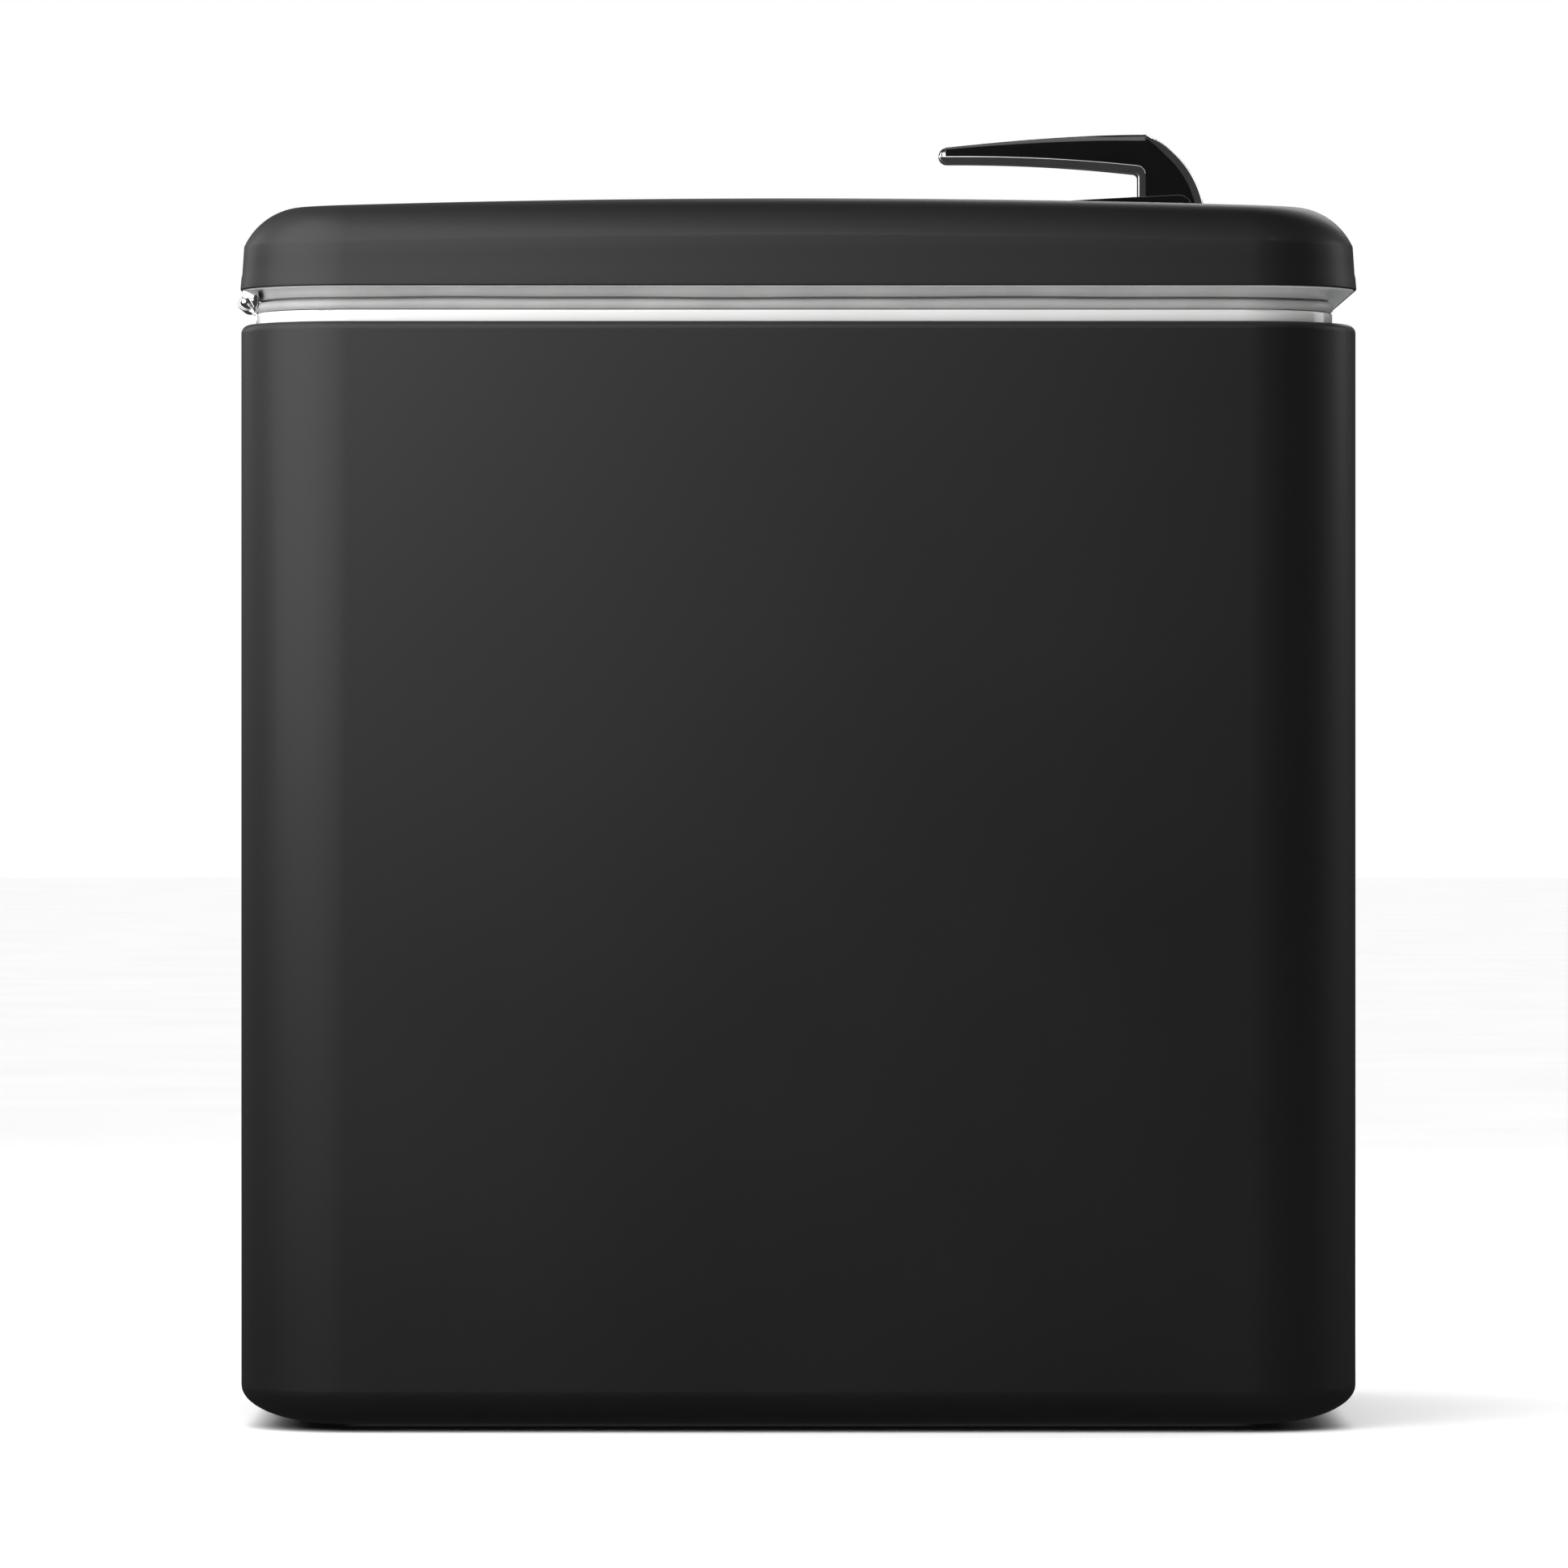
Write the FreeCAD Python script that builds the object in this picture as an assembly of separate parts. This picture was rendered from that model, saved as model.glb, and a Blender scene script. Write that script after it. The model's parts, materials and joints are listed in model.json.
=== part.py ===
"""Top-loading trash compactor: enamelled cabinet, hinged lid with a lever latch, and a press under the lid.

Frame: millimetres, +Z up, +X to the front (latch side), origin on the floor under the centre.
"""
import FreeCAD
import Part
import math
import os

os.makedirs("parts", exist_ok=True)
V = FreeCAD.Vector

# ---- driving dimensions: cabinet ----
DEPTH = 610.0
WIDTH = 381.0
EDGE_R = 60.0
SPAN_X = DEPTH / 2 - EDGE_R
SPAN_Y = WIDTH / 2 - EDGE_R
SHEET = 1.5
BODY_LOW = 2.0
BODY_RIM = 602.5
RIM_R = 4.5
FOOT_CURVE_IN = 50.0
FOOT_CURVE_UP = 21.0
FLANGE_IN = 8.0
DECK_IN = 16.0

# ---- throat: collar, liner and gasket ----
THROAT_SHIFT = -2.0
THROAT_SPAN_X = 243.25
COLLAR_R = 51.0
LINER_R = 26.0
COLLAR_TOP = 609.0
COLLAR_SKIRT = 590.0
LINER_SHEET = 1.2
GASKET_GAP = 0.3
BEAD_R = 2.3

# ---- lid ----
LID_LOW = 621.3
CROWN = 674.0
LID_R = 60.5
LID_FLARE = 2.0
FLARE_LOW = 12.0
FLARE_HIGH = 26.0
CROWN_RADIUS_X = 8470.0
CROWN_RADIUS_Y = 3750.0
SHOULDER_R = 35.5
SHOULDER_OUT = 3.2

# ---- hinges ----
HINGE_X = -302.5
HINGE_Z = 615.5
KNUCKLE_R = 4.9
PIN_R = 2.5
PIN_FIT = 0.05
BALL_R = 3.2
HINGE_LENGTH = 40.0
HINGE_OUTER_Y = 128.0
KNUCKLE_GAP = 0.2
KNUCKLE_SHARE = 13.0

# ---- lever and latch ----
LEVER_PIVOT = (208.0, CROWN + 2.0)
LEVER_PIN_R = 3.0
LEVER_HALF = 11.0
LEVER_TIP_HALF = 7.5
LEVER_TIP_X = 83.5
LEVER_TIP_R = 4.6
TRIM = 3.2
TAIL = 30.0
BOLT_HALF = 7.0
BOLT_LOW = 590.5
BOLT_TALL = 12.0
BOLT_TIP = 275.0
BOLT_WEB = 6.0
BOLT_BACK = 226.0
BOLT_GAP = 0.4
BOLT_TRAVEL = 12.9
KEEPER = 3.0

# ---- press linkage ----
GEAR_R = 30.0
MODULE = 2.0
GEAR_TEETH = 30
PINION_TEETH = 15
PINION_R = MODULE * PINION_TEETH / 2
PINION_AT = 132.0
PRESSURE = math.radians(20.0)
BACKLASH = 0.25
GEAR_HALF = 8.0
BASE_Z = 567.0
ARM = 180.0
ARM_REST = 9.0
ARM_HALF = 11.0
EYE_R = 13.0
LINK_PIN_R = 6.0
LINK_FIT = 0.05
OPEN_FIT = 0.5
FORK_IN = 9.0
FORK_THICK = 4.0
CHEEK_IN = 14.5
CHEEK_THICK = 4.0
KNEE_X = GEAR_R + ARM * math.cos(math.radians(ARM_REST))
KNEE_Z = BASE_Z - ARM * math.sin(math.radians(ARM_REST))
PLATEN_PIVOT_Z = BASE_Z - 2 * ARM * math.sin(math.radians(ARM_REST))
PLATEN_HALF_X = 228.0
PLATEN_HALF_Y = 116.0
PLATEN_LOW = 484.0
PLATEN_PLATE = 4.0
PLATEN_RIM = 16.0
PLATEN_CORNER = 20.0

# ---- bin and base ----
PAN_Z = BODY_LOW + SHEET
FRAME_SHEET = 2.5
FRAME_TOP = 45.0
FLOOR_PLATE = 4.0
FLOOR_TOP = FRAME_TOP + FLOOR_PLATE
BIN_HALF_X = 241.0
BIN_HALF_Y = 129.0
BIN_CORNER = 36.0
BIN_SHEET = 1.2
BIN_TOP = 464.0
BIN_RIM_R = 4.0
FOOT_X = 215.0
FOOT_Y = 84.0
FOOT_R = 19.0

# ---- controls on the front face ----
PANEL_Z = 545.0
PANEL_HALF_Y = 62.0
PANEL_HALF_Z = 18.0
BUTTON_R = 8.0
BUTTON_Y = (-38.0, -8.0)
KEY_Y = 34.0
KEY_R = 9.0
PROUD = 0.5

ORIGIN = V(0, 0, 0)
UP = V(0, 0, 1)
SIDEWAYS = V(0, 1, 0)
FORWARD = V(1, 0, 0)


def box(x_range, y_range, z_range):
    """A block between two corners."""
    size = [high - low for low, high in (x_range, y_range, z_range)]
    return Part.makeBox(*size, V(x_range[0], y_range[0], z_range[0]))


def rod_y(radius, x, z, y_low, y_high):
    """A round bar along Y."""
    return Part.makeCylinder(radius, y_high - y_low, V(x, y_low, z), SIDEWAYS)


def rod_x(radius, x_low, x_high, y, z):
    """A round bar along X."""
    return Part.makeCylinder(radius, x_high - x_low, V(x_low, y, z), FORWARD)


def rod_z(radius, x, y, z_low, z_high):
    """An upright round bar."""
    return Part.makeCylinder(radius, z_high - z_low, V(x, y, z_low), UP)


def side_face(start, *steps):
    """A face in the XZ plane: each step is a point, or a pair (point on the arc, end of the arc)."""
    edges = []
    here = V(start[0], 0, start[1])
    first = here
    for step in steps:
        if isinstance(step[0], tuple):
            on_arc, end = (V(p[0], 0, p[1]) for p in step)
            edges.append(Part.Arc(here, on_arc, end).toShape())
        else:
            end = V(step[0], 0, step[1])
            edges.append(Part.makeLine(here, end))
        here = end
    if here.distanceToPoint(first) > 1e-6:
        edges.append(Part.makeLine(here, first))
    return Part.Face(Part.Wire(edges))


def across(face, half, middle=0.0):
    """Extrudes a side face to both sides of a middle plane."""
    moved = face.copy()
    moved.translate(V(0, middle - half, 0))
    return moved.extrude(V(0, 2 * half, 0))


def fused(*shapes):
    """One solid from shapes that touch or overlap."""
    return shapes[0].fuse(list(shapes[1:])).removeSplitter()


def ring(section, span_x, span_y, shift=0.0):
    """Carries a wall section round a rounded rectangle; the section's x is counted from the corner centre."""
    pieces = []
    for turn, reach, run in ((0, span_x, span_y), (90, span_y, span_x),
                             (180, span_x, span_y), (270, span_y, span_x)):
        wall = section.copy()
        wall.translate(V(reach, -run, 0))
        wall = wall.extrude(V(0, 2 * run, 0))
        corner = section.revolve(ORIGIN, UP, 90)
        corner.translate(V(reach, run, 0))
        for piece in (wall, corner):
            piece.rotate(ORIGIN, UP, turn)
            pieces.append(piece)
    whole = fused(*pieces)
    whole.translate(V(shift, 0, 0))
    return whole


def slab(half_x, half_y, radius, z_low, z_high, shift=0.0):
    """A flat plate with rounded corners in plan."""
    plate = box((shift - half_x, shift + half_x), (-half_y, half_y), (z_low, z_high))
    upright = [e for e in plate.Edges if abs(e.tangentAt(e.FirstParameter).z) > 0.9]
    return plate.makeFillet(radius, upright)


def quarter(centre, reach, rise):
    """A quarter ellipse from the side of its centre round to straight below it."""
    middle = V(centre[0], 0, centre[1])
    ellipse = Part.Ellipse(middle + V(reach, 0, 0), middle - V(0, 0, rise), middle)
    return Part.ArcOfEllipse(ellipse, 0, math.pi / 2).toShape()


def gear_face(teeth, first_tooth, x, z):
    """Involute gear outline in the XZ plane; each flank is an arc through three involute points."""
    pitch_r = MODULE * teeth / 2
    base_r = pitch_r * math.cos(PRESSURE)
    tip_r = pitch_r + 0.95 * MODULE
    root_r = pitch_r - 1.2 * MODULE

    def involute(radius):
        lean = math.acos(min(1.0, base_r / radius))
        return math.tan(lean) - lean

    def half_angle(radius):
        at_pitch = math.pi / (2 * teeth) - BACKLASH / (2 * pitch_r)
        return at_pitch + involute(pitch_r) - involute(radius)

    def point(radius, angle):
        return V(x + radius * math.cos(angle), 0, z + radius * math.sin(angle))

    edges = []
    pitch = 2 * math.pi / teeth
    for tooth in range(teeth):
        middle = math.radians(first_tooth) + tooth * pitch
        root, flank, tip = half_angle(root_r), half_angle(pitch_r), half_angle(tip_r)
        corners = [point(root_r, middle - root), point(pitch_r, middle - flank), point(tip_r, middle - tip),
                   point(tip_r, middle), point(tip_r, middle + tip), point(pitch_r, middle + flank),
                   point(root_r, middle + root), point(root_r, middle + pitch / 2),
                   point(root_r, middle + pitch - root)]
        for start in (0, 2, 4, 6):
            edges.append(Part.Arc(*corners[start:start + 3]).toShape())
    return Part.Face(Part.Wire(edges))


def capsule_face(start, end, half):
    """A bar with round ends, seen from the side."""
    run = V(end[0] - start[0], 0, end[1] - start[1])
    along = V(run).normalize()
    off = V(-along.z, 0, along.x) * half
    a, b = V(start[0], 0, start[1]), V(end[0], 0, end[1])
    edges = [Part.makeLine(a + off, b + off), Part.Arc(b + off, b + along * half, b - off).toShape(),
             Part.makeLine(b - off, a - off), Part.Arc(a - off, a - along * half, a + off).toShape()]
    return Part.Face(Part.Wire(edges))


def rounded(shape, radius, chosen):
    """Fillets the edges that the test picks."""
    return shape.makeFillet(radius, [e for e in shape.Edges if chosen(e)])


def both_sides(shape):
    """A shape and its mirror image across the middle plane, as separate solids."""
    return Part.makeCompound([shape, shape.mirror(ORIGIN, SIDEWAYS)])


def screw(x, y, z, direction, head_r=3.5, head=2.0, shank_r=1.9, shank=8.0):
    """A round-head screw whose head stands on a face at the given point; direction is out of the face."""
    out = V(*direction)
    point = V(x, y, z)
    dome = Part.makeCylinder(head_r, head, point, out)
    dome = dome.makeFillet(head * 0.6, [e for e in dome.Edges if e.Closed and
                                        (e.CenterOfMass - point).dot(out) > head * 0.5])
    slot = Part.makeBox(head_r * 3, 0.9, head, V(-head_r * 1.5, -0.45, 0))
    slot.Placement = FreeCAD.Placement(point + out * (head * 0.6), FreeCAD.Rotation(UP, out))
    return dome.cut(slot).fuse(Part.makeCylinder(shank_r, shank, point - out * shank, out)).removeSplitter()


def save(name, shape):
    """Writes one sub-part."""
    if not shape.isValid():
        raise ValueError(name + " is not a valid shape")
    shape.exportStep("parts/" + name + ".step")
    print(name, len(shape.Solids), "solids", round(shape.Volume / 1000, 1), "cm3")


# ---- cabinet shell: one enamelled wrap, turned in below and rolled over at the rim ----
def shell_section():
    curve_x = EDGE_R - FOOT_CURVE_IN
    curve_z = BODY_LOW + FOOT_CURVE_UP
    outer = quarter((curve_x, curve_z), FOOT_CURVE_IN, FOOT_CURVE_UP)
    inner = quarter((curve_x, curve_z), FOOT_CURVE_IN - SHEET, FOOT_CURVE_UP - SHEET)
    bend = RIM_R * math.sqrt(0.5)
    inner_bend = (RIM_R - SHEET) * math.sqrt(0.5)
    bend_x, bend_z = EDGE_R - RIM_R, BODY_RIM - RIM_R
    deck = EDGE_R - DECK_IN
    lip = curve_x - FLANGE_IN

    def at(x, z):
        return V(x, 0, z)

    edges = [
        outer,
        Part.makeLine(at(EDGE_R, curve_z), at(EDGE_R, bend_z)),
        Part.Arc(at(EDGE_R, bend_z), at(bend_x + bend, bend_z + bend), at(bend_x, BODY_RIM)).toShape(),
        Part.makeLine(at(bend_x, BODY_RIM), at(deck, BODY_RIM)),
        Part.makeLine(at(deck, BODY_RIM), at(deck, BODY_RIM - SHEET)),
        Part.makeLine(at(deck, BODY_RIM - SHEET), at(bend_x, BODY_RIM - SHEET)),
        Part.Arc(at(bend_x, BODY_RIM - SHEET), at(bend_x + inner_bend, bend_z + inner_bend),
                 at(EDGE_R - SHEET, bend_z)).toShape(),
        Part.makeLine(at(EDGE_R - SHEET, bend_z), at(EDGE_R - SHEET, curve_z)),
        inner,
        Part.makeLine(at(curve_x, BODY_LOW + SHEET), at(lip, BODY_LOW + SHEET)),
        Part.makeLine(at(lip, BODY_LOW + SHEET), at(lip, BODY_LOW)),
        Part.makeLine(at(lip, BODY_LOW), at(curve_x, BODY_LOW)),
    ]
    return Part.Face(Part.Wire(Part.__sortEdges__(edges)))


FACE_X = DEPTH / 2
COVER_HALF_Y = 100.0
COVER_Z = (110.0, 430.0)
COVER_GAP = 0.6
INLET_Y = 60.0
INLET_Z = 70.0
INLET_HALF_Y = 25.0
INLET_HALF_Z = 14.0

shell = ring(shell_section(), SPAN_X, SPAN_Y)
panel_hole = box((FACE_X - 5, FACE_X + 5), (-PANEL_HALF_Y, PANEL_HALF_Y),
                 (PANEL_Z - PANEL_HALF_Z, PANEL_Z + PANEL_HALF_Z))
cover_hole = box((-FACE_X - 5, -FACE_X + 5), (-COVER_HALF_Y, COVER_HALF_Y), COVER_Z)
inlet_hole = box((-FACE_X - 5, -FACE_X + 5), (INLET_Y - INLET_HALF_Y, INLET_Y + INLET_HALF_Y),
                 (INLET_Z - INLET_HALF_Z, INLET_Z + INLET_HALF_Z))
save("cabinet_shell", shell.cut([panel_hole, cover_hole, inlet_hole]))

# ---- base: pan, Z-section frame, floor plate, uprights and feet ----
foot_holes = [rod_z(5.6, sx * FOOT_X, sy * FOOT_Y, 0, FRAME_TOP) for sx in (-1, 1) for sy in (-1, 1)]
pan_r = EDGE_R - FOOT_CURVE_IN
pan = slab(SPAN_X + pan_r, SPAN_Y + pan_r, pan_r, PAN_Z, PAN_Z + SHEET)
save("base_pan", pan.cut(foot_holes))

FRAME_LOW = PAN_Z + SHEET
FRAME_OUT = 45.0
z_section = side_face((0.5, FRAME_LOW), (pan_r, FRAME_LOW), (pan_r, FRAME_TOP - FRAME_SHEET),
                      (FRAME_OUT, FRAME_TOP - FRAME_SHEET), (FRAME_OUT, FRAME_TOP),
                      (pan_r - FRAME_SHEET, FRAME_TOP), (pan_r - FRAME_SHEET, FRAME_LOW + FRAME_SHEET),
                      (0.5, FRAME_LOW + FRAME_SHEET))
save("base_frame", ring(z_section, SPAN_X, SPAN_Y))
save("floor_plate", slab(SPAN_X + 22, SPAN_Y + 22, 22, FRAME_TOP, FLOOR_TOP))

cross = []
for sx in (-1, 1):
    beam = box((sx * FOOT_X - 20, sx * FOOT_X + 20), (-SPAN_Y - 0.4, SPAN_Y + 0.4), (FRAME_TOP - 30, FRAME_TOP))
    groove = box((sx * FOOT_X - 17, sx * FOOT_X + 17), (-SPAN_Y - 1, SPAN_Y + 1), (FRAME_TOP - 31, FRAME_TOP - 3))
    cross.append(beam.cut([groove] + foot_holes))
save("foot_cross_members", Part.makeCompound(cross))

UPRIGHT_OUT = 36.5
UPRIGHT_R = 6.5
uprights = []
for sx in (-1, 1):
    for sy in (-1, 1):
        reach = UPRIGHT_OUT * math.sqrt(0.5)
        x = THROAT_SHIFT + sx * (THROAT_SPAN_X + reach)
        y = sy * (SPAN_Y + reach)
        tube = rod_z(UPRIGHT_R, x, y, FRAME_TOP, COLLAR_TOP - SHEET)
        uprights.append(tube.cut(rod_z(UPRIGHT_R - SHEET, x, y, FRAME_TOP, COLLAR_TOP)))
save("corner_uprights", Part.makeCompound(uprights))

PAD_TALL = 2.6
pads, stems, nuts = [], [], []
for sx in (-1, 1):
    for sy in (-1, 1):
        x, y = sx * FOOT_X, sy * FOOT_Y
        pad = rod_z(FOOT_R, x, y, 0, PAD_TALL)
        pads.append(rounded(pad, 0.8, lambda e: e.Closed and e.CenterOfMass.z > 1))
        stems.append(rod_z(5.0, x, y, PAD_TALL, FRAME_TOP - 1))
        nut = Part.makePolygon([V(x + 8.5 * math.cos(math.radians(60 * k)), y + 8.5 * math.sin(math.radians(60 * k)),
                                  FRAME_TOP - 9) for k in range(7)])
        nut = Part.Face(nut).extrude(V(0, 0, 6))
        nuts.append(nut.cut(rod_z(5.0, x, y, 0, FRAME_TOP)))
save("foot_pads", Part.makeCompound(pads))
save("foot_stems", Part.makeCompound(stems))
save("foot_nuts", Part.makeCompound(nuts))

# ---- throat collar and liner ----
collar_section = side_face(
    (COLLAR_R - SHEET, BODY_RIM), (COLLAR_R, BODY_RIM), (COLLAR_R, COLLAR_TOP - 1.2),
    ((COLLAR_R - 0.35, COLLAR_TOP - 0.35), (COLLAR_R - 1.2, COLLAR_TOP)), (LINER_R, COLLAR_TOP),
    (LINER_R, COLLAR_SKIRT), (LINER_R + SHEET, COLLAR_SKIRT), (LINER_R + SHEET, COLLAR_TOP - SHEET),
    (COLLAR_R - SHEET, COLLAR_TOP - SHEET))
collar = ring(collar_section, THROAT_SPAN_X, SPAN_Y, THROAT_SHIFT)
wall_x = THROAT_SHIFT + THROAT_SPAN_X + LINER_R
bolt_top = BOLT_LOW + BOLT_TALL
bolt_slot = box((wall_x - 3, wall_x + 10), (-BOLT_HALF - 0.6, BOLT_HALF + 0.6), (BOLT_LOW - 0.6, bolt_top + 0.6))
save("top_collar", collar.cut(bolt_slot))
keeper = box((wall_x + SHEET, wall_x + SHEET + KEEPER), (-22, 22), (BOLT_LOW - 5, bolt_top + 4))
keeper_holes = [rod_x(1.9, wall_x, wall_x + 9, sy * 16, BOLT_LOW + BOLT_TALL / 2) for sy in (-1, 1)]
save("latch_keeper", keeper.cut([bolt_slot] + keeper_holes))
save("keeper_screws", Part.makeCompound([
    screw(wall_x + SHEET + KEEPER, sy * 16, BOLT_LOW + BOLT_TALL / 2, (1, 0, 0), 3.2, 1.8, 1.9, KEEPER)
    for sy in (-1, 1)]))

liner_section = side_face((LINER_R, FLOOR_TOP), (LINER_R + LINER_SHEET, FLOOR_TOP),
                          (LINER_R + LINER_SHEET, COLLAR_SKIRT), (LINER_R, COLLAR_SKIRT))
liner = ring(liner_section, THROAT_SPAN_X, SPAN_Y, THROAT_SHIFT)
liner_floor = slab(THROAT_SPAN_X + LINER_R, SPAN_Y + LINER_R, LINER_R, FLOOR_TOP, FLOOR_TOP + LINER_SHEET,
                   THROAT_SHIFT)
save("inner_liner", fused(liner, liner_floor))

# ---- waste bin: pressed bucket with finger grips, and its rolled rim ----
bin_low = FLOOR_TOP + LINER_SHEET


def bucket(half_x, half_y, corner, low, high):
    """A tub with rounded corners and a rounded lower edge."""
    block = slab(half_x, half_y, corner, low, high)
    return rounded(block, 12.0, lambda e: abs(e.BoundBox.ZMax - low) < 1e-6)


grip_z = BIN_TOP - 40
grips = []
for sx in (-1, 1):
    hole = box((sx * BIN_HALF_X - 20, sx * BIN_HALF_X + 20), (-48, 48), (grip_z - 13, grip_z + 13))
    grips.append(rounded(hole, 12.5, lambda e: abs(e.tangentAt(e.FirstParameter).x) > 0.9))
bucket_out = bucket(BIN_HALF_X, BIN_HALF_Y, BIN_CORNER, bin_low, BIN_TOP)
bucket_in = bucket(BIN_HALF_X - BIN_SHEET, BIN_HALF_Y - BIN_SHEET, BIN_CORNER - BIN_SHEET,
                   bin_low + BIN_SHEET, BIN_TOP + 20)
save("waste_bin", bucket_out.cut([bucket_in] + grips))
rim_centre = BIN_CORNER + BIN_RIM_R
rim_face = Part.Face(Part.Wire(Part.makeCircle(BIN_RIM_R, V(rim_centre, 0, BIN_TOP - BIN_RIM_R), SIDEWAYS)))
save("bin_rim", ring(rim_face, BIN_HALF_X - BIN_CORNER, BIN_HALF_Y - BIN_CORNER))

# ---- rear service cover in a doubler frame, and the mains inlet ----
rear_in = -FACE_X + SHEET
doubler = box((rear_in, rear_in + 2), (-COVER_HALF_Y - 12, COVER_HALF_Y + 12), (COVER_Z[0] - 12, COVER_Z[1] + 12))
window = box((rear_in - 1, rear_in + 4), (-COVER_HALF_Y + 14, COVER_HALF_Y - 14), (COVER_Z[0] + 14, COVER_Z[1] - 14))
cover_points = [(sy * (COVER_HALF_Y - 7), z) for sy in (-1, 1)
                for z in (COVER_Z[0] + 7, sum(COVER_Z) / 2, COVER_Z[1] - 7)]
cover_bores = [rod_x(1.9, -FACE_X - 1, rear_in + 6, y, z) for y, z in cover_points]
save("cover_frame", doubler.cut([window] + cover_bores))
cover = box((-FACE_X + 0.3, rear_in), (-COVER_HALF_Y + COVER_GAP, COVER_HALF_Y - COVER_GAP),
            (COVER_Z[0] + COVER_GAP, COVER_Z[1] - COVER_GAP))
LOUVRES = 7
louvre_slots = [box((-FACE_X - 1, rear_in + 1), (-60, 60), (300 + 14 * k, 304 + 14 * k)) for k in range(LOUVRES)]
save("rear_cover", cover.cut(louvre_slots + cover_bores))
save("cover_screws", Part.makeCompound([
    screw(-FACE_X + 0.3, y, z, (-1, 0, 0), 3.4, 1.2, 1.9, 5.0) for y, z in cover_points]))

inlet = box((-FACE_X - 0.4, -FACE_X), (INLET_Y - INLET_HALF_Y - 3, INLET_Y + INLET_HALF_Y + 3),
            (INLET_Z - INLET_HALF_Z - 3, INLET_Z + INLET_HALF_Z + 3))
inlet_body = box((-FACE_X, -FACE_X + 28), (INLET_Y - INLET_HALF_Y + 0.2, INLET_Y + INLET_HALF_Y - 0.2),
                 (INLET_Z - INLET_HALF_Z + 0.2, INLET_Z + INLET_HALF_Z - 0.2))
pocket = box((-FACE_X - 2, -FACE_X + 16), (INLET_Y - 12, INLET_Y + 12), (INLET_Z - 8.3, INLET_Z + 8.3))
blades = [box((-FACE_X + 5, -FACE_X + 17), (INLET_Y + dy - 1, INLET_Y + dy + 1), (INLET_Z + dz - 2, INLET_Z + dz + 2))
          for dy, dz in ((-7, -1), (0, 3), (7, -1))]
save("mains_inlet", fused(inlet, inlet_body).cut(pocket))
save("inlet_contacts", Part.makeCompound([b.common(pocket) for b in blades]))

# ---- control panel on the front face ----
front_in = FACE_X - SHEET
bezel = box((FACE_X, FACE_X + PROUD), (-PANEL_HALF_Y - 3, PANEL_HALF_Y + 3),
            (PANEL_Z - PANEL_HALF_Z - 3, PANEL_Z + PANEL_HALF_Z + 3))
bezel = rounded(bezel, 6.0, lambda e: abs(e.tangentAt(e.FirstParameter).x) > 0.9)
bezel_body = box((FACE_X - 4.8, FACE_X), (-PANEL_HALF_Y + 0.3, PANEL_HALF_Y - 0.3),
                 (PANEL_Z - PANEL_HALF_Z + 0.3, PANEL_Z + PANEL_HALF_Z - 0.3))
button_holes = [rod_x(BUTTON_R + 0.3, FACE_X - 6, FACE_X + 2, y, PANEL_Z) for y in BUTTON_Y]
key_hole = rod_x(KEY_R + 0.3, FACE_X - 6, FACE_X + 2, KEY_Y, PANEL_Z)
save("control_bezel", fused(bezel, bezel_body).cut(button_holes + [key_hole]))

box_front = FACE_X - 5.0
box_back = wall_x + 10.0
case = box((box_back, box_front), (-PANEL_HALF_Y, PANEL_HALF_Y), (PANEL_Z - 24, PANEL_Z + 24))
inside = box((box_back + 2, box_front - 2), (-PANEL_HALF_Y + 2, PANEL_HALF_Y - 2), (PANEL_Z - 22, PANEL_Z + 22))
stem_holes = [rod_x(5.3, box_front - 3, box_front + 1, y, PANEL_Z) for y in BUTTON_Y + (KEY_Y,)]
save("control_box", case.cut([inside] + stem_holes))
BOARD_X = box_back + 5
save("control_board", box((BOARD_X, BOARD_X + 1.6), (-PANEL_HALF_Y + 2, PANEL_HALF_Y - 2),
                          (PANEL_Z - 22, PANEL_Z + 22)))
for name, y in zip(("start_button", "stop_button"), BUTTON_Y):
    cap = rod_x(BUTTON_R, FACE_X - 1.7, FACE_X + PROUD - 0.1, y, PANEL_Z)
    cap = rounded(cap, 0.6, lambda e: e.Closed and e.CenterOfMass.x > FACE_X)
    save(name, fused(cap, rod_x(5.0, BOARD_X + 6.0, FACE_X - 1.7, y, PANEL_Z)))
barrel = rod_x(KEY_R, FACE_X - 4.0, FACE_X + PROUD - 0.1, KEY_Y, PANEL_Z)
key_slot = box((FACE_X - 2.0, FACE_X + 2), (KEY_Y - 1.2, KEY_Y + 1.2), (PANEL_Z - 5.5, PANEL_Z + 5.5))
save("key_switch", fused(barrel, rod_x(5.0, BOARD_X + 3.0, FACE_X - 4.0, KEY_Y, PANEL_Z)).cut(key_slot))


# ---- lid: crowned pressing, pan, gasket ----
def crown_block(drop, low):
    """A block whose top is the lid's double crown, lowered by a sheet thickness or so."""
    top = CROWN - drop
    half = WIDTH / 2 + 20
    sag = CROWN_RADIUS_Y - math.sqrt(CROWN_RADIUS_Y ** 2 - half ** 2)
    edges = [Part.Arc(V(0, -half, top - sag), V(0, 0, top), V(0, half, top - sag)).toShape(),
             Part.makeLine(V(0, half, top - sag), V(0, half, low)),
             Part.makeLine(V(0, half, low), V(0, -half, low)),
             Part.makeLine(V(0, -half, low), V(0, -half, top - sag))]
    face = Part.Face(Part.Wire(edges))
    axis = V(0, 0, CROWN - CROWN_RADIUS_X)
    swing = math.degrees((DEPTH / 2 + 20) / CROWN_RADIUS_X)
    face.rotate(axis, SIDEWAYS, -swing)
    return face.revolve(axis, SIDEWAYS, 2 * swing)


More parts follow.
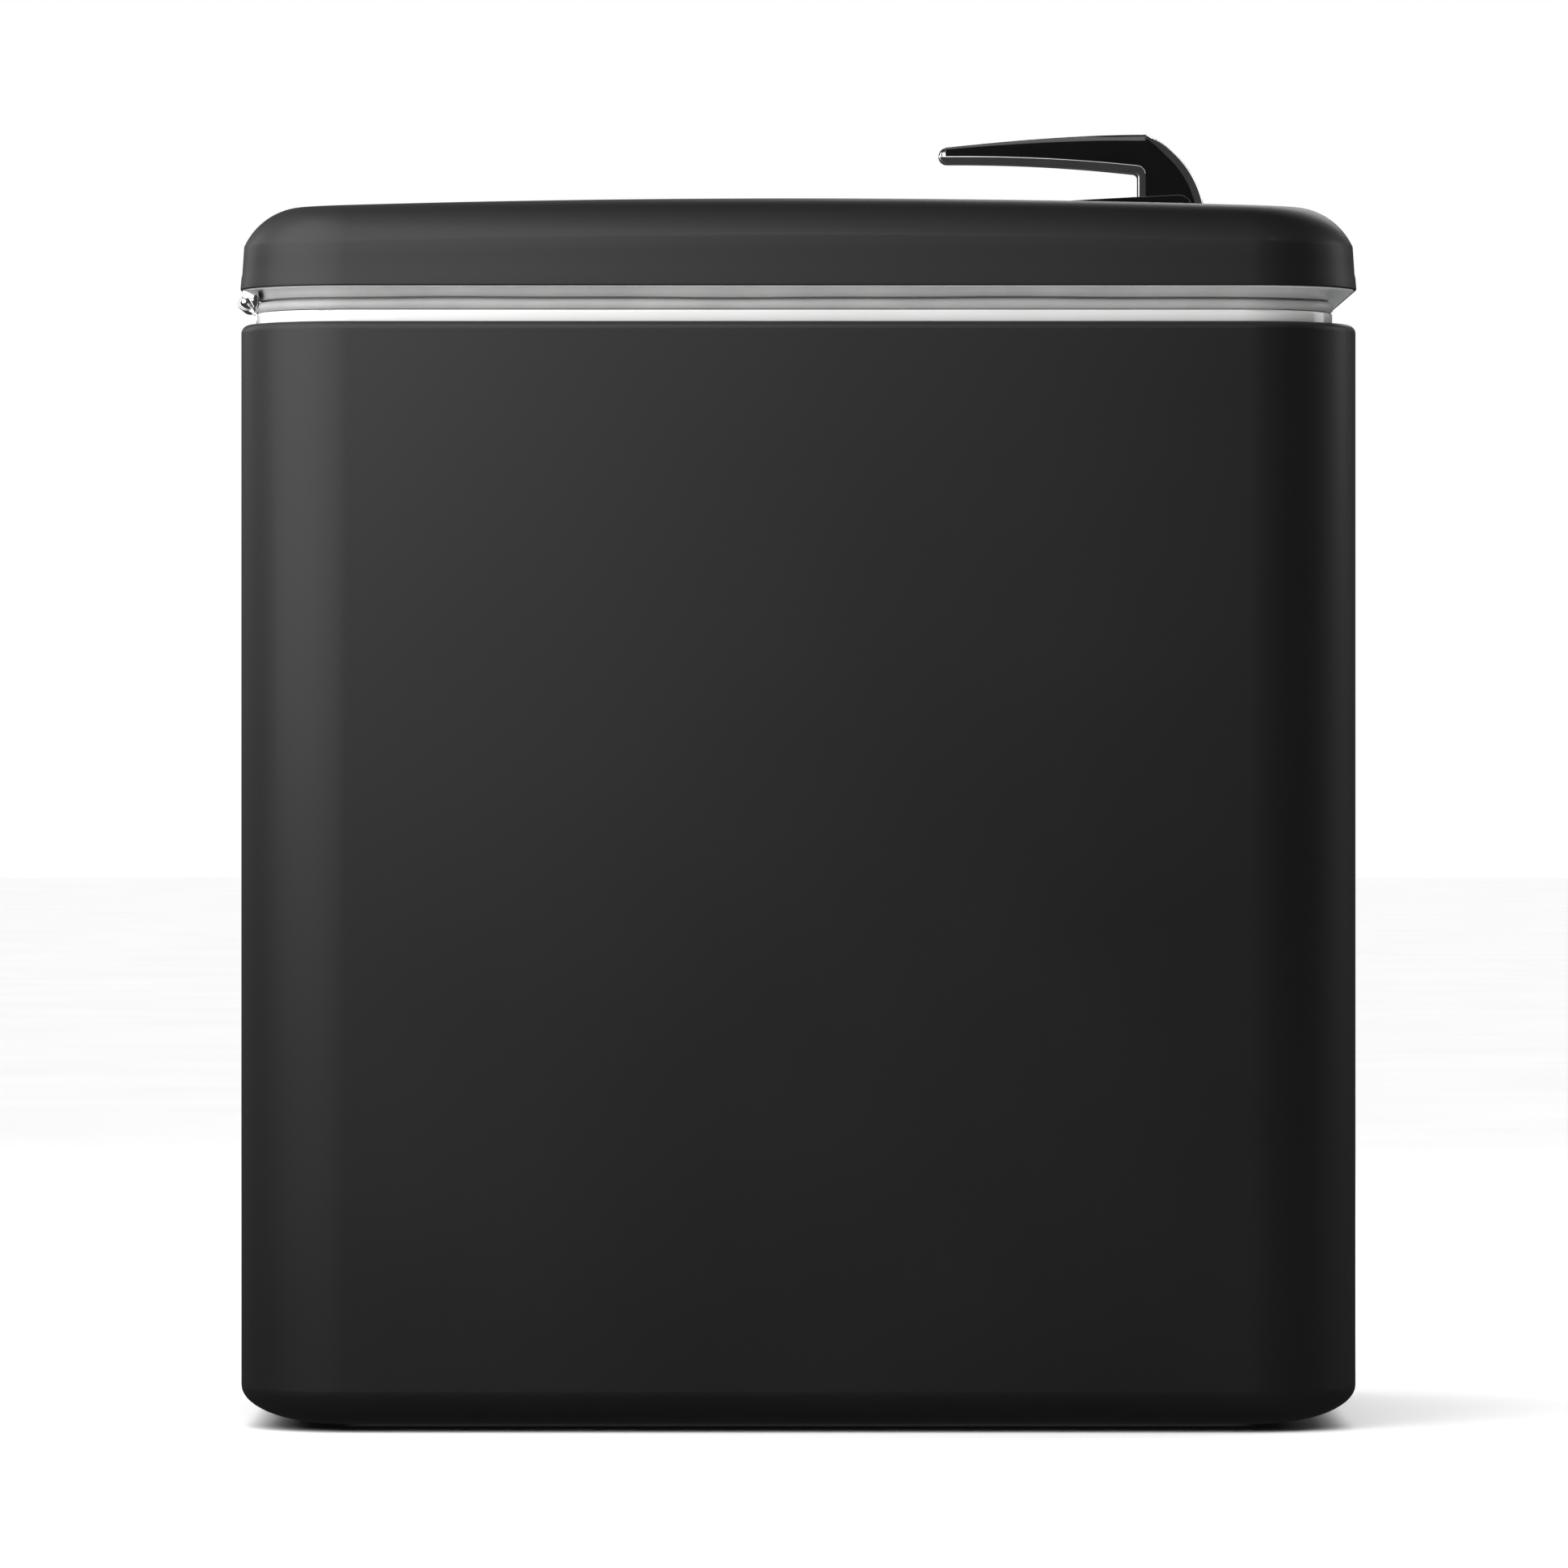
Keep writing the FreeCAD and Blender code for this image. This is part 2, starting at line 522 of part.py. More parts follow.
def lid_form(inset, low):
    """The lid's outer form, or its inner form when inset by the sheet."""
    out = LID_R - LID_FLARE + SHOULDER_OUT - inset
    wide = slab(SPAN_X + out, SPAN_Y + out, out, low, CROWN + 20)
    body = wide.common(crown_block(inset, low - 60))
    body = rounded(body, SHOULDER_R - inset, lambda e: e.BoundBox.ZMin > CROWN - 30)
    edge = LID_R - inset
    flared = side_face((0.2, low), (edge, low), (edge, LID_LOW + FLARE_LOW), (edge - LID_FLARE, LID_LOW + FLARE_HIGH),
                       (edge - LID_FLARE, CROWN + 20), (0.2, CROWN + 20))
    walls = ring(flared, SPAN_X, SPAN_Y)
    core = box((-SPAN_X - 0.3, SPAN_X + 0.3), (-SPAN_Y - 0.3, SPAN_Y + 0.3), (low, CROWN + 20))
    return body.common(fused(walls, core))


lid_out = lid_form(0.0, LID_LOW)
lid_in = lid_form(SHEET, LID_LOW - 10)
LEVER_SLOT = (187.0, 230.5)
slot_half = LEVER_HALF + 1.5
lever_hole = box(LEVER_SLOT, (-slot_half, slot_half), (CROWN - 20, CROWN + 20))
save("lid_shell", lid_out.cut([lid_in, lever_hole]))

pan_edge = LID_R - SHEET - 0.1
lid_pan = slab(SPAN_X + pan_edge, SPAN_Y + pan_edge, pan_edge, LID_LOW, LID_LOW + SHEET)
web_slot = box((BOLT_BACK - BOLT_TRAVEL - 1, BOLT_BACK + BOLT_WEB + 1), (-BOLT_HALF - 1, BOLT_HALF + 1),
               (LID_LOW - 2, LID_LOW + 4))
BRACKET_SCREW_R = 2.5
bracket_points = [(-80.0, -27.0), (60.0, -27.0), (60.0, 59.0)]
bracket_bores = [rod_z(BRACKET_SCREW_R, x, y, LID_LOW - 10, LID_LOW + 10) for x, y in bracket_points]
save("lid_pan", lid_pan.cut([web_slot] + bracket_bores))

seal_low = COLLAR_TOP + GASKET_GAP
seal_r = COLLAR_R - 1.5
gasket_section = side_face(
    (seal_r - 11, seal_low), (seal_r - 0.5, seal_low),
    ((seal_r + BEAD_R, seal_low + BEAD_R), (seal_r - 0.5, seal_low + 2 * BEAD_R)),
    (seal_r - 1.2, seal_low + 2 * BEAD_R + 0.6), (seal_r, seal_low + 2 * BEAD_R + 1.6),
    (seal_r, LID_LOW), (seal_r - 11, LID_LOW), (seal_r - 11, LID_LOW - 3), (seal_r - 6, LID_LOW - 5),
    (seal_r - 6, seal_low + 3), (seal_r - 11, seal_low + 1.5))
save("lid_gasket", ring(gasket_section, THROAT_SPAN_X, SPAN_Y, THROAT_SHIFT))

rib_z = LID_LOW + SHEET
ribs = []
for y in (-95.0, 95.0):
    hat = side_face((-14, rib_z), (-14, rib_z + 1.5), (-8, rib_z + 1.5), (-8, rib_z + 24), (8, rib_z + 24),
                    (8, rib_z + 1.5), (14, rib_z + 1.5), (14, rib_z), (6.5, rib_z), (6.5, rib_z + 22.5),
                    (-6.5, rib_z + 22.5), (-6.5, rib_z))
    bar = across(hat, 260.0)
    bar.rotate(ORIGIN, UP, 90)
    bar.translate(V(0, y, 0))
    ribs.append(bar)
save("lid_stiffeners", Part.makeCompound(ribs))

# ---- hinges ----
collar_rear = THROAT_SHIFT - THROAT_SPAN_X - COLLAR_R
near_y = -HINGE_OUTER_Y
knuckle_ends = [(near_y, near_y + KNUCKLE_SHARE - KNUCKLE_GAP / 2),
                (near_y + HINGE_LENGTH - KNUCKLE_SHARE + KNUCKLE_GAP / 2, near_y + HINGE_LENGTH)]
lid_knuckle = (near_y + KNUCKLE_SHARE + KNUCKLE_GAP / 2, near_y + HINGE_LENGTH - KNUCKLE_SHARE - KNUCKLE_GAP / 2)
leaf = box((collar_rear - 4.2, collar_rear), (near_y, near_y + HINGE_LENGTH), (BODY_RIM, HINGE_Z))
relief = rod_y(KNUCKLE_R + 0.6, HINGE_X, HINGE_Z, lid_knuckle[0] - 0.2, lid_knuckle[1] + 0.2)
relief_top = box((collar_rear - 5, collar_rear + 1), (lid_knuckle[0] - 0.2, lid_knuckle[1] + 0.2),
                 (HINGE_Z - 4, HINGE_Z + 1))
bead_relief = box((HINGE_X + 4.3, collar_rear + 1), (near_y - 1, near_y + HINGE_LENGTH + 1),
                  (COLLAR_TOP - 0.2, HINGE_Z + 1))
leaf = leaf.cut([relief, relief_top, bead_relief])
knuckles = [rod_y(KNUCKLE_R, HINGE_X, HINGE_Z, low, high) for low, high in knuckle_ends]
leaf = fused(leaf, *knuckles).cut(rod_y(PIN_R, HINGE_X, HINGE_Z, near_y - 1, near_y + HINGE_LENGTH + 1))
save("hinge_body_leaves", both_sides(leaf))

lid_leaf = fused(rod_y(KNUCKLE_R, HINGE_X, HINGE_Z, *lid_knuckle),
                 box((HINGE_X - 2, HINGE_X + 7), lid_knuckle, (HINGE_Z + 2, LID_LOW)))
lid_leaf = lid_leaf.cut(rod_y(PIN_R + PIN_FIT, HINGE_X, HINGE_Z, near_y, near_y + HINGE_LENGTH))
save("hinge_lid_leaves", both_sides(lid_leaf))

pin = fused(rod_y(PIN_R, HINGE_X, HINGE_Z, near_y - 1.5, near_y + HINGE_LENGTH + 1.5),
            Part.makeSphere(BALL_R, V(HINGE_X, near_y - 3, HINGE_Z)),
            Part.makeSphere(BALL_R, V(HINGE_X, near_y + HINGE_LENGTH + 3, HINGE_Z)))
save("hinge_pins", both_sides(pin))

# ---- lever handle, escutcheon and latch ----
pivot_x, pivot_z = LEVER_PIVOT


def on_circle(centre, radius, degrees):
    """A point of a circle in the side view."""
    angle = math.radians(degrees)
    return (centre[0] + radius * math.cos(angle), centre[1] + radius * math.sin(angle))


REAR_CENTRE = (173.0, CROWN - 8.8)
REAR_R = 55.3
REAR_FROM, REAR_TO = 66.2, 11.6
REAR_MID = (REAR_FROM + REAR_TO) / 2
TIP_LOW = (LEVER_TIP_X, CROWN + 30 - LEVER_TIP_R)
POST_X = 190.6
POST_TOP = CROWN + 18.5
LEVER_FOOT = CROWN - 3.0


def underside(inset):
    """The arc of the lever's underside and the small bend into its post, from the post to the tip."""
    return [(POST_X + inset, LEVER_FOOT), (POST_X + inset, POST_TOP + inset),
            ((POST_X + inset - 0.6, POST_TOP + inset + 1.3), (POST_X + inset - 2, POST_TOP + inset + 1.7)),
            ((136.7, CROWN + 24.3 + inset), (TIP_LOW[0], TIP_LOW[1] + inset))]


def lever_side():
    """The whole lever from the side."""
    tip_end = (LEVER_TIP_X - LEVER_TIP_R, CROWN + 30)
    tip_high = (LEVER_TIP_X, CROWN + 30 + LEVER_TIP_R)
    rear_end = on_circle(REAR_CENTRE, REAR_R, REAR_TO)
    return side_face(TIP_LOW, (tip_end, tip_high), ((143.9, CROWN + 40.0), on_circle(REAR_CENTRE, REAR_R, REAR_FROM)),
                     (on_circle(REAR_CENTRE, REAR_R, REAR_MID), rear_end), (rear_end[0], LEVER_FOOT),
                     *underside(0.0))


def under_trim_side():
    """The bright bead under the lever and down the inner edge of its post."""
    outer, inner = underside(0.0), underside(TRIM)
    back = [(inner[3][0], inner[2][1]), ((POST_X + TRIM - 0.6, POST_TOP + TRIM + 1.3), inner[1]), inner[0]]
    return side_face(*outer, (TIP_LOW[0], TIP_LOW[1] + TRIM), *back)


def rear_trim_side():
    """The bright band over the lever's rear."""
    inner_r = REAR_R - TRIM
    outer_end = on_circle(REAR_CENTRE, REAR_R, REAR_TO)
    return side_face(on_circle(REAR_CENTRE, REAR_R, REAR_FROM), (on_circle(REAR_CENTRE, REAR_R, REAR_MID), outer_end),
                     (outer_end[0], LEVER_FOOT), (outer_end[0] - TRIM, LEVER_FOOT),
                     on_circle(REAR_CENTRE, inner_r, REAR_TO),
                     (on_circle(REAR_CENTRE, inner_r, REAR_MID), on_circle(REAR_CENTRE, inner_r, REAR_FROM)))


plan = Part.Face(Part.makePolygon([V(x, y, CROWN - 60) for x, y in (
    (70, -LEVER_TIP_HALF), (175, -LEVER_HALF), (240, -LEVER_HALF), (240, LEVER_HALF), (175, LEVER_HALF),
    (70, LEVER_TIP_HALF), (70, -LEVER_TIP_HALF))])).extrude(V(0, 0, 120))
whole = across(lever_side(), LEVER_HALF).common(plan)
trims = [across(side, LEVER_HALF).common(plan) for side in (under_trim_side(), rear_trim_side())]
pivot_bore = rod_y(LEVER_PIN_R + PIN_FIT, pivot_x, pivot_z, -30, 30)
tail = fused(box((pivot_x - 2, pivot_x + 2), (-4, 4), (pivot_z - TAIL, CROWN - 2)),
             rod_y(3.0, pivot_x, pivot_z - TAIL, -BOLT_HALF + 1, BOLT_HALF - 1))
save("lever_handle", fused(whole.cut(trims), tail).cut(pivot_bore))
save("lever_trim", Part.makeCompound(trims))
save("lever_pin", rod_y(LEVER_PIN_R, pivot_x, pivot_z, -16.0, 16.0))

plate = side_face((146.5, CROWN - 2.6), (147.6, CROWN + 4.2), (213.5, CROWN + 7.5),
                  ((219.8, CROWN + 6.2), (222.4, CROWN + 2.8)), (234.0, CROWN + 0.6), (234.0, CROWN - 4.0))
escutcheon = across(plate, 18.0)
plate_plan = slab(43.75, 18.0, 15.0, CROWN - 10, CROWN + 20, 190.25)
escutcheon = escutcheon.common(plate_plan).cut(lid_out)
lever_slot = box(LEVER_SLOT, (-slot_half, slot_half), (CROWN - 20, CROWN + 20))
pin_hole = rod_y(LEVER_PIN_R, pivot_x, pivot_z, -16.0, 16.0)
save("lever_escutcheon", escutcheon.cut([lever_slot, pin_hole]))

lug_low = pivot_z - TAIL - 8
lug = box((198, BOLT_BACK + BOLT_WEB), (-BOLT_HALF, BOLT_HALF), (lug_low, lug_low + 11))
lug = lug.cut(box((pivot_x - 3.4, pivot_x + 3.4), (-20, 20), (lug_low + 3.5, lug_low + 20)))
web = box((BOLT_BACK, BOLT_BACK + BOLT_WEB), (-BOLT_HALF, BOLT_HALF), (BOLT_LOW, lug_low + 5))
nose = side_face((BOLT_BACK, BOLT_LOW), (BOLT_TIP - 7, BOLT_LOW), (BOLT_TIP, BOLT_LOW + 7), (BOLT_TIP, bolt_top),
                 (BOLT_BACK, bolt_top))
save("latch_bolt", fused(lug, web, across(nose, BOLT_HALF)))

GUIDE = (190.0, 262.0)
guide_low = BOLT_LOW - 3.0
guide = box(GUIDE, (-BOLT_HALF - 4, BOLT_HALF + 4), (guide_low, LID_LOW))
channel = box((GUIDE[0] + 2.5, GUIDE[1] + 1), (-BOLT_HALF - BOLT_GAP, BOLT_HALF + BOLT_GAP),
              (BOLT_LOW - BOLT_GAP, LID_LOW + 1))
ears = [box((GUIDE[0] + 6, GUIDE[1] - 6), ends, (LID_LOW - 3, LID_LOW)) for ends in
        ((-BOLT_HALF - 16, -BOLT_HALF - 3), (BOLT_HALF + 3, BOLT_HALF + 16))]
save("latch_guide", fused(guide, *ears).cut(channel))

SPRING_R = 4.2
SPRING_WIRE = 0.8
SPRING_TURNS = 8
spring_x = (GUIDE[0] + 2.5, BOLT_BACK)
spring_z = BOLT_LOW + BOLT_TALL / 2
free = spring_x[1] - spring_x[0] - 2 * SPRING_WIRE
helix = Part.makeHelix(free / SPRING_TURNS, free, SPRING_R)
start = Part.Wire(Part.makeCircle(SPRING_WIRE, V(SPRING_R, 0, 0), SIDEWAYS))
coil = Part.Wire(helix).makePipeShell([start], True, True)
coil.rotate(ORIGIN, SIDEWAYS, 90)
coil.translate(V(spring_x[0] + SPRING_WIRE, 0, spring_z))
save("latch_spring", coil)

# ---- lid interlock and odour filter ----
SENSOR_Y = 90.0
sensor_x = THROAT_SHIFT + THROAT_SPAN_X + LINER_R + SHEET
save("lid_sensor", box((sensor_x, sensor_x + 9), (SENSOR_Y - 14, SENSOR_Y + 14),
                       (COLLAR_TOP - SHEET - 14, COLLAR_TOP - SHEET)))
magnet = rod_z(6.0, sensor_x - 14, SENSOR_Y, LID_LOW - 8, LID_LOW)
save("lid_magnet", rounded(magnet, 0.8, lambda e: e.Closed and e.CenterOfMass.z < LID_LOW - 5))
filter_box = box((90, 170), (-140, -60), (LID_LOW - 16, LID_LOW))
filter_box = rounded(filter_box, 5.0, lambda e: abs(e.tangentAt(e.FirstParameter).z) > 0.9)
filter_slots = [box((98 + 9 * k, 102 + 9 * k), (-132, -68), (LID_LOW - 20, LID_LOW - 12)) for k in range(8)]
save("odour_filter", filter_box.cut(filter_slots))


# ---- press linkage ----
def arm_end(side):
    return (side * KNEE_X, KNEE_Z)


def base_end(side):
    return (side * GEAR_R, BASE_Z)


def platen_end(side):
    return (side * GEAR_R, PLATEN_PIVOT_Z)


def upper_arm(side, first_tooth):
    """A toothed wheel about the base pivot with the arm that it swings."""
    wheel = across(gear_face(GEAR_TEETH, first_tooth, *base_end(side)), GEAR_HALF)
    bar = across(capsule_face(base_end(side), arm_end(side), ARM_HALF), GEAR_HALF)
    eye = rod_y(EYE_R, *arm_end(side), -GEAR_HALF, GEAR_HALF)
    bores = [rod_y(LINK_PIN_R + LINK_FIT, *base_end(side), -20, 20), rod_y(LINK_PIN_R, *arm_end(side), -20, 20)]
    return fused(wheel, bar, eye).cut(bores)


def lower_arm(side, platen_fit):
    """A fork of two plates from the knee to the platen, with one cross tie."""
    plates = []
    for sy in (-1, 1):
        middle = sy * (FORK_IN + FORK_THICK / 2)
        bar = across(capsule_face(arm_end(side), platen_end(side), ARM_HALF), FORK_THICK / 2, middle)
        eyes = [rod_y(EYE_R, *end(side), middle - FORK_THICK / 2, middle + FORK_THICK / 2)
                for end in (arm_end, platen_end)]
        plates.append(fused(bar, *eyes))
    tie_x = side * (GEAR_R + KNEE_X) / 2
    tie = rod_y(5.0, tie_x, (KNEE_Z + PLATEN_PIVOT_Z) / 2, -FORK_IN, FORK_IN)
    bores = [rod_y(LINK_PIN_R + LINK_FIT, *arm_end(side), -20, 20),
             rod_y(LINK_PIN_R + platen_fit, *platen_end(side), -20, 20)]
    return fused(*plates, tie).cut(bores)


def headed_pin(x, z, half, head_r):
    """A pin with a thin head and a retaining ring outside its last plate."""
    ends = [rod_y(head_r, x, z, -half - 1.2, -half), rod_y(head_r, x, z, half, half + 1.2)]
    return fused(rod_y(LINK_PIN_R, x, z, -half - 1.2, half + 1.2), *ends)


fork_out = FORK_IN + FORK_THICK
cheek_out = CHEEK_IN + CHEEK_THICK
save("upper_arm_rear", upper_arm(-1, 0.0))
save("upper_arm_front", upper_arm(1, 180.0 / GEAR_TEETH))
save("lower_arm_rear", lower_arm(-1, LINK_FIT))
save("lower_arm_front", lower_arm(1, OPEN_FIT))
for name, side in (("rear", -1), ("front", 1)):
    save("knee_pin_" + name, headed_pin(*arm_end(side), fork_out + 0.2, 8.0))
save("platen_pins", Part.makeCompound([headed_pin(*platen_end(side), fork_out + 0.2, 8.0) for side in (-1, 1)]))
save("base_pins", Part.makeCompound([headed_pin(*base_end(side), cheek_out, 8.5) for side in (-1, 1)]))

pinion_x = -GEAR_R + (GEAR_R + PINION_R) * math.cos(math.radians(PINION_AT))
pinion_z = BASE_Z + (GEAR_R + PINION_R) * math.sin(math.radians(PINION_AT))
PINION_SHAFT = 5.0
pinion_phase = PINION_AT + 180 + 180.0 / PINION_TEETH
pinion = across(gear_face(PINION_TEETH, pinion_phase, pinion_x, pinion_z), GEAR_HALF - 0.5)
shaft = rod_y(PINION_SHAFT, pinion_x, pinion_z, -cheek_out, cheek_out + 16)
save("drive_pinion", fused(pinion, shaft))

TOP_PLATE = 4.0
bracket_top = box((-92, 72), (-34, 66), (LID_LOW - TOP_PLATE, LID_LOW))
cheeks = []
for sy in (-1, 1):
    outline = side_face((-88, LID_LOW - TOP_PLATE), (72, LID_LOW - TOP_PLATE), (56, BASE_Z - 8),
                        ((48, BASE_Z - 16), (38, BASE_Z - 18)), (-38, BASE_Z - 18),
                        ((-48, BASE_Z - 16), (-56, BASE_Z - 8)))
    middle = sy * (CHEEK_IN + CHEEK_THICK / 2)
    cheek = across(outline, CHEEK_THICK / 2, middle)
    bores = [rod_y(LINK_PIN_R, *base_end(side), -40, 40) for side in (-1, 1)]
    bores.append(rod_y(PINION_SHAFT + LINK_FIT, pinion_x, pinion_z, -40, 40))
    cheeks.append(cheek.cut(bores))
pinion_relief = rod_y(PINION_R + 3, pinion_x, pinion_z, -GEAR_HALF - 1, GEAR_HALF + 1)
save("press_bracket", fused(bracket_top, *cheeks).cut([pinion_relief] + bracket_bores))

gearbox = box((pinion_x - 26, pinion_x + 26), (cheek_out + 0.4, cheek_out + 38), (pinion_z - 25, LID_LOW - TOP_PLATE))
gearbox = rounded(gearbox, 5.0, lambda e: abs(e.tangentAt(e.FirstParameter).y) > 0.9 and e.CenterOfMass.z < pinion_z)
gearbox = gearbox.cut(rod_y(PINION_SHAFT + LINK_FIT, pinion_x, pinion_z, 0, cheek_out + 17))
save("worm_gearbox", gearbox)
MOTOR_R = 19.0
motor_y = cheek_out + 20
motor_z = LID_LOW - TOP_PLATE - MOTOR_R - 1
motor = rod_x(MOTOR_R, pinion_x + 26, pinion_x + 122, motor_y, motor_z)
motor = rounded(motor, 3.0, lambda e: e.Closed and e.CenterOfMass.x > pinion_x + 100)
boss = rod_x(8.0, pinion_x + 122, pinion_x + 128, motor_y, motor_z)
save("drive_motor", fused(motor, boss))
save("bracket_screws", Part.makeCompound([
    screw(x, y, LID_LOW - TOP_PLATE, (0, 0, -1), 4.5, 2.5, BRACKET_SCREW_R, TOP_PLATE + SHEET)
    for x, y in bracket_points]))

# ---- platen: flanged plate with two channels, lugs and screws ----
tray = slab(PLATEN_HALF_X, PLATEN_HALF_Y, PLATEN_CORNER, PLATEN_LOW, PLATEN_LOW + PLATEN_RIM)
tray = rounded(tray, 5.0, lambda e: abs(e.BoundBox.ZMax - PLATEN_LOW) < 1e-6)
hollow = slab(PLATEN_HALF_X - 3, PLATEN_HALF_Y - 3, PLATEN_CORNER - 3, PLATEN_LOW + PLATEN_PLATE, PLATEN_LOW + 40)
save("platen", tray.cut(hollow))
plate_top = PLATEN_LOW + PLATEN_PLATE
channels = []
for y in (-60.0, 60.0):
    channel_face = side_face((-16, plate_top), (-16, plate_top + 14), (16, plate_top + 14), (16, plate_top),
                             (13, plate_top), (13, plate_top + 11), (-13, plate_top + 11), (-13, plate_top))
    channel_bar = across(channel_face, 205.0)
    channel_bar.rotate(ORIGIN, UP, 90)
    channel_bar.translate(V(0, y, 0))
    channels.append(channel_bar)
save("platen_channels", Part.makeCompound(channels))
lug_face = side_face((-46, plate_top), (-46, plate_top + 6), (-42, PLATEN_PIVOT_Z), ((-30, PLATEN_PIVOT_Z + 12),
                     (-18, PLATEN_PIVOT_Z)), (-14, plate_top + 10), (14, plate_top + 10), (18, PLATEN_PIVOT_Z),
                     ((30, PLATEN_PIVOT_Z + 12), (42, PLATEN_PIVOT_Z)), (46, plate_top + 6), (46, plate_top))
lug_block = across(lug_face, GEAR_HALF)
foot = box((-58, 58), (-40, 40), (plate_top, plate_top + 4))
lug_block = fused(lug_block, foot).cut([rod_y(LINK_PIN_R, *platen_end(side), -20, 20) for side in (-1, 1)])
screw_points = [(sx * 50.0, sy * 32.0) for sx in (-1, 1) for sy in (-1, 1)]
lug_bores = [rod_z(2.4, x, y, PLATEN_LOW, plate_top + 10) for x, y in screw_points]
save("platen_saddle", lug_block.cut(lug_bores))
save("platen_screws", Part.makeCompound([
    screw(x, y, plate_top + 4, (0, 0, 1), 4.5, 2.5, 2.4, 4.0) for x, y in screw_points]))
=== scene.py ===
"""Top-loading trash compactor in satin black enamel: finishes, made pieces, studio and camera.

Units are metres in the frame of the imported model: +Z up, +X to the latch side, origin on the floor.
"""
import json
import logging
import math
from dataclasses import dataclass
from enum import Enum
from typing import Callable, Iterable, Sequence

import bmesh
import bpy
from mathutils import Matrix, Vector


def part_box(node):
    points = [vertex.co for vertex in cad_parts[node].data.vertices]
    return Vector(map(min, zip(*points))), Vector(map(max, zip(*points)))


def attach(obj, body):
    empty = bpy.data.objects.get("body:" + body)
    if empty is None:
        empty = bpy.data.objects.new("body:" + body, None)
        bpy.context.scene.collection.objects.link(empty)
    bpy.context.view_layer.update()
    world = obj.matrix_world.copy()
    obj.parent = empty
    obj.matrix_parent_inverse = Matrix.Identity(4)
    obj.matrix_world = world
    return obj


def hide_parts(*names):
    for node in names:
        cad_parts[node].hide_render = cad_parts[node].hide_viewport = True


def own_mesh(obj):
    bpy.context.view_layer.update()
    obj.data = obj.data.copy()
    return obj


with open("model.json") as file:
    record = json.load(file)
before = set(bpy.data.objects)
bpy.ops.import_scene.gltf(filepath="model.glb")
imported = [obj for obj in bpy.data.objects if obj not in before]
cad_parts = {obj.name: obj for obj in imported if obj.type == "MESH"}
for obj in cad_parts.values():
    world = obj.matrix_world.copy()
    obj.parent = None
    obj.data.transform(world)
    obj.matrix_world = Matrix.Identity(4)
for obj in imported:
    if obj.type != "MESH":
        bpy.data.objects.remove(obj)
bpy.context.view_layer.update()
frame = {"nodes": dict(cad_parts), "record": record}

log = logging.getLogger("compactor")
Colour = tuple[float, float, float]
Point = tuple[float, float]


class Axis(Enum):
    """A direction of the model's frame."""

    X = Vector((1.0, 0.0, 0.0))
    Y = Vector((0.0, 1.0, 0.0))
    Z = Vector((0.0, 0.0, 1.0))


# ---------------------------------------------------------------- finishes


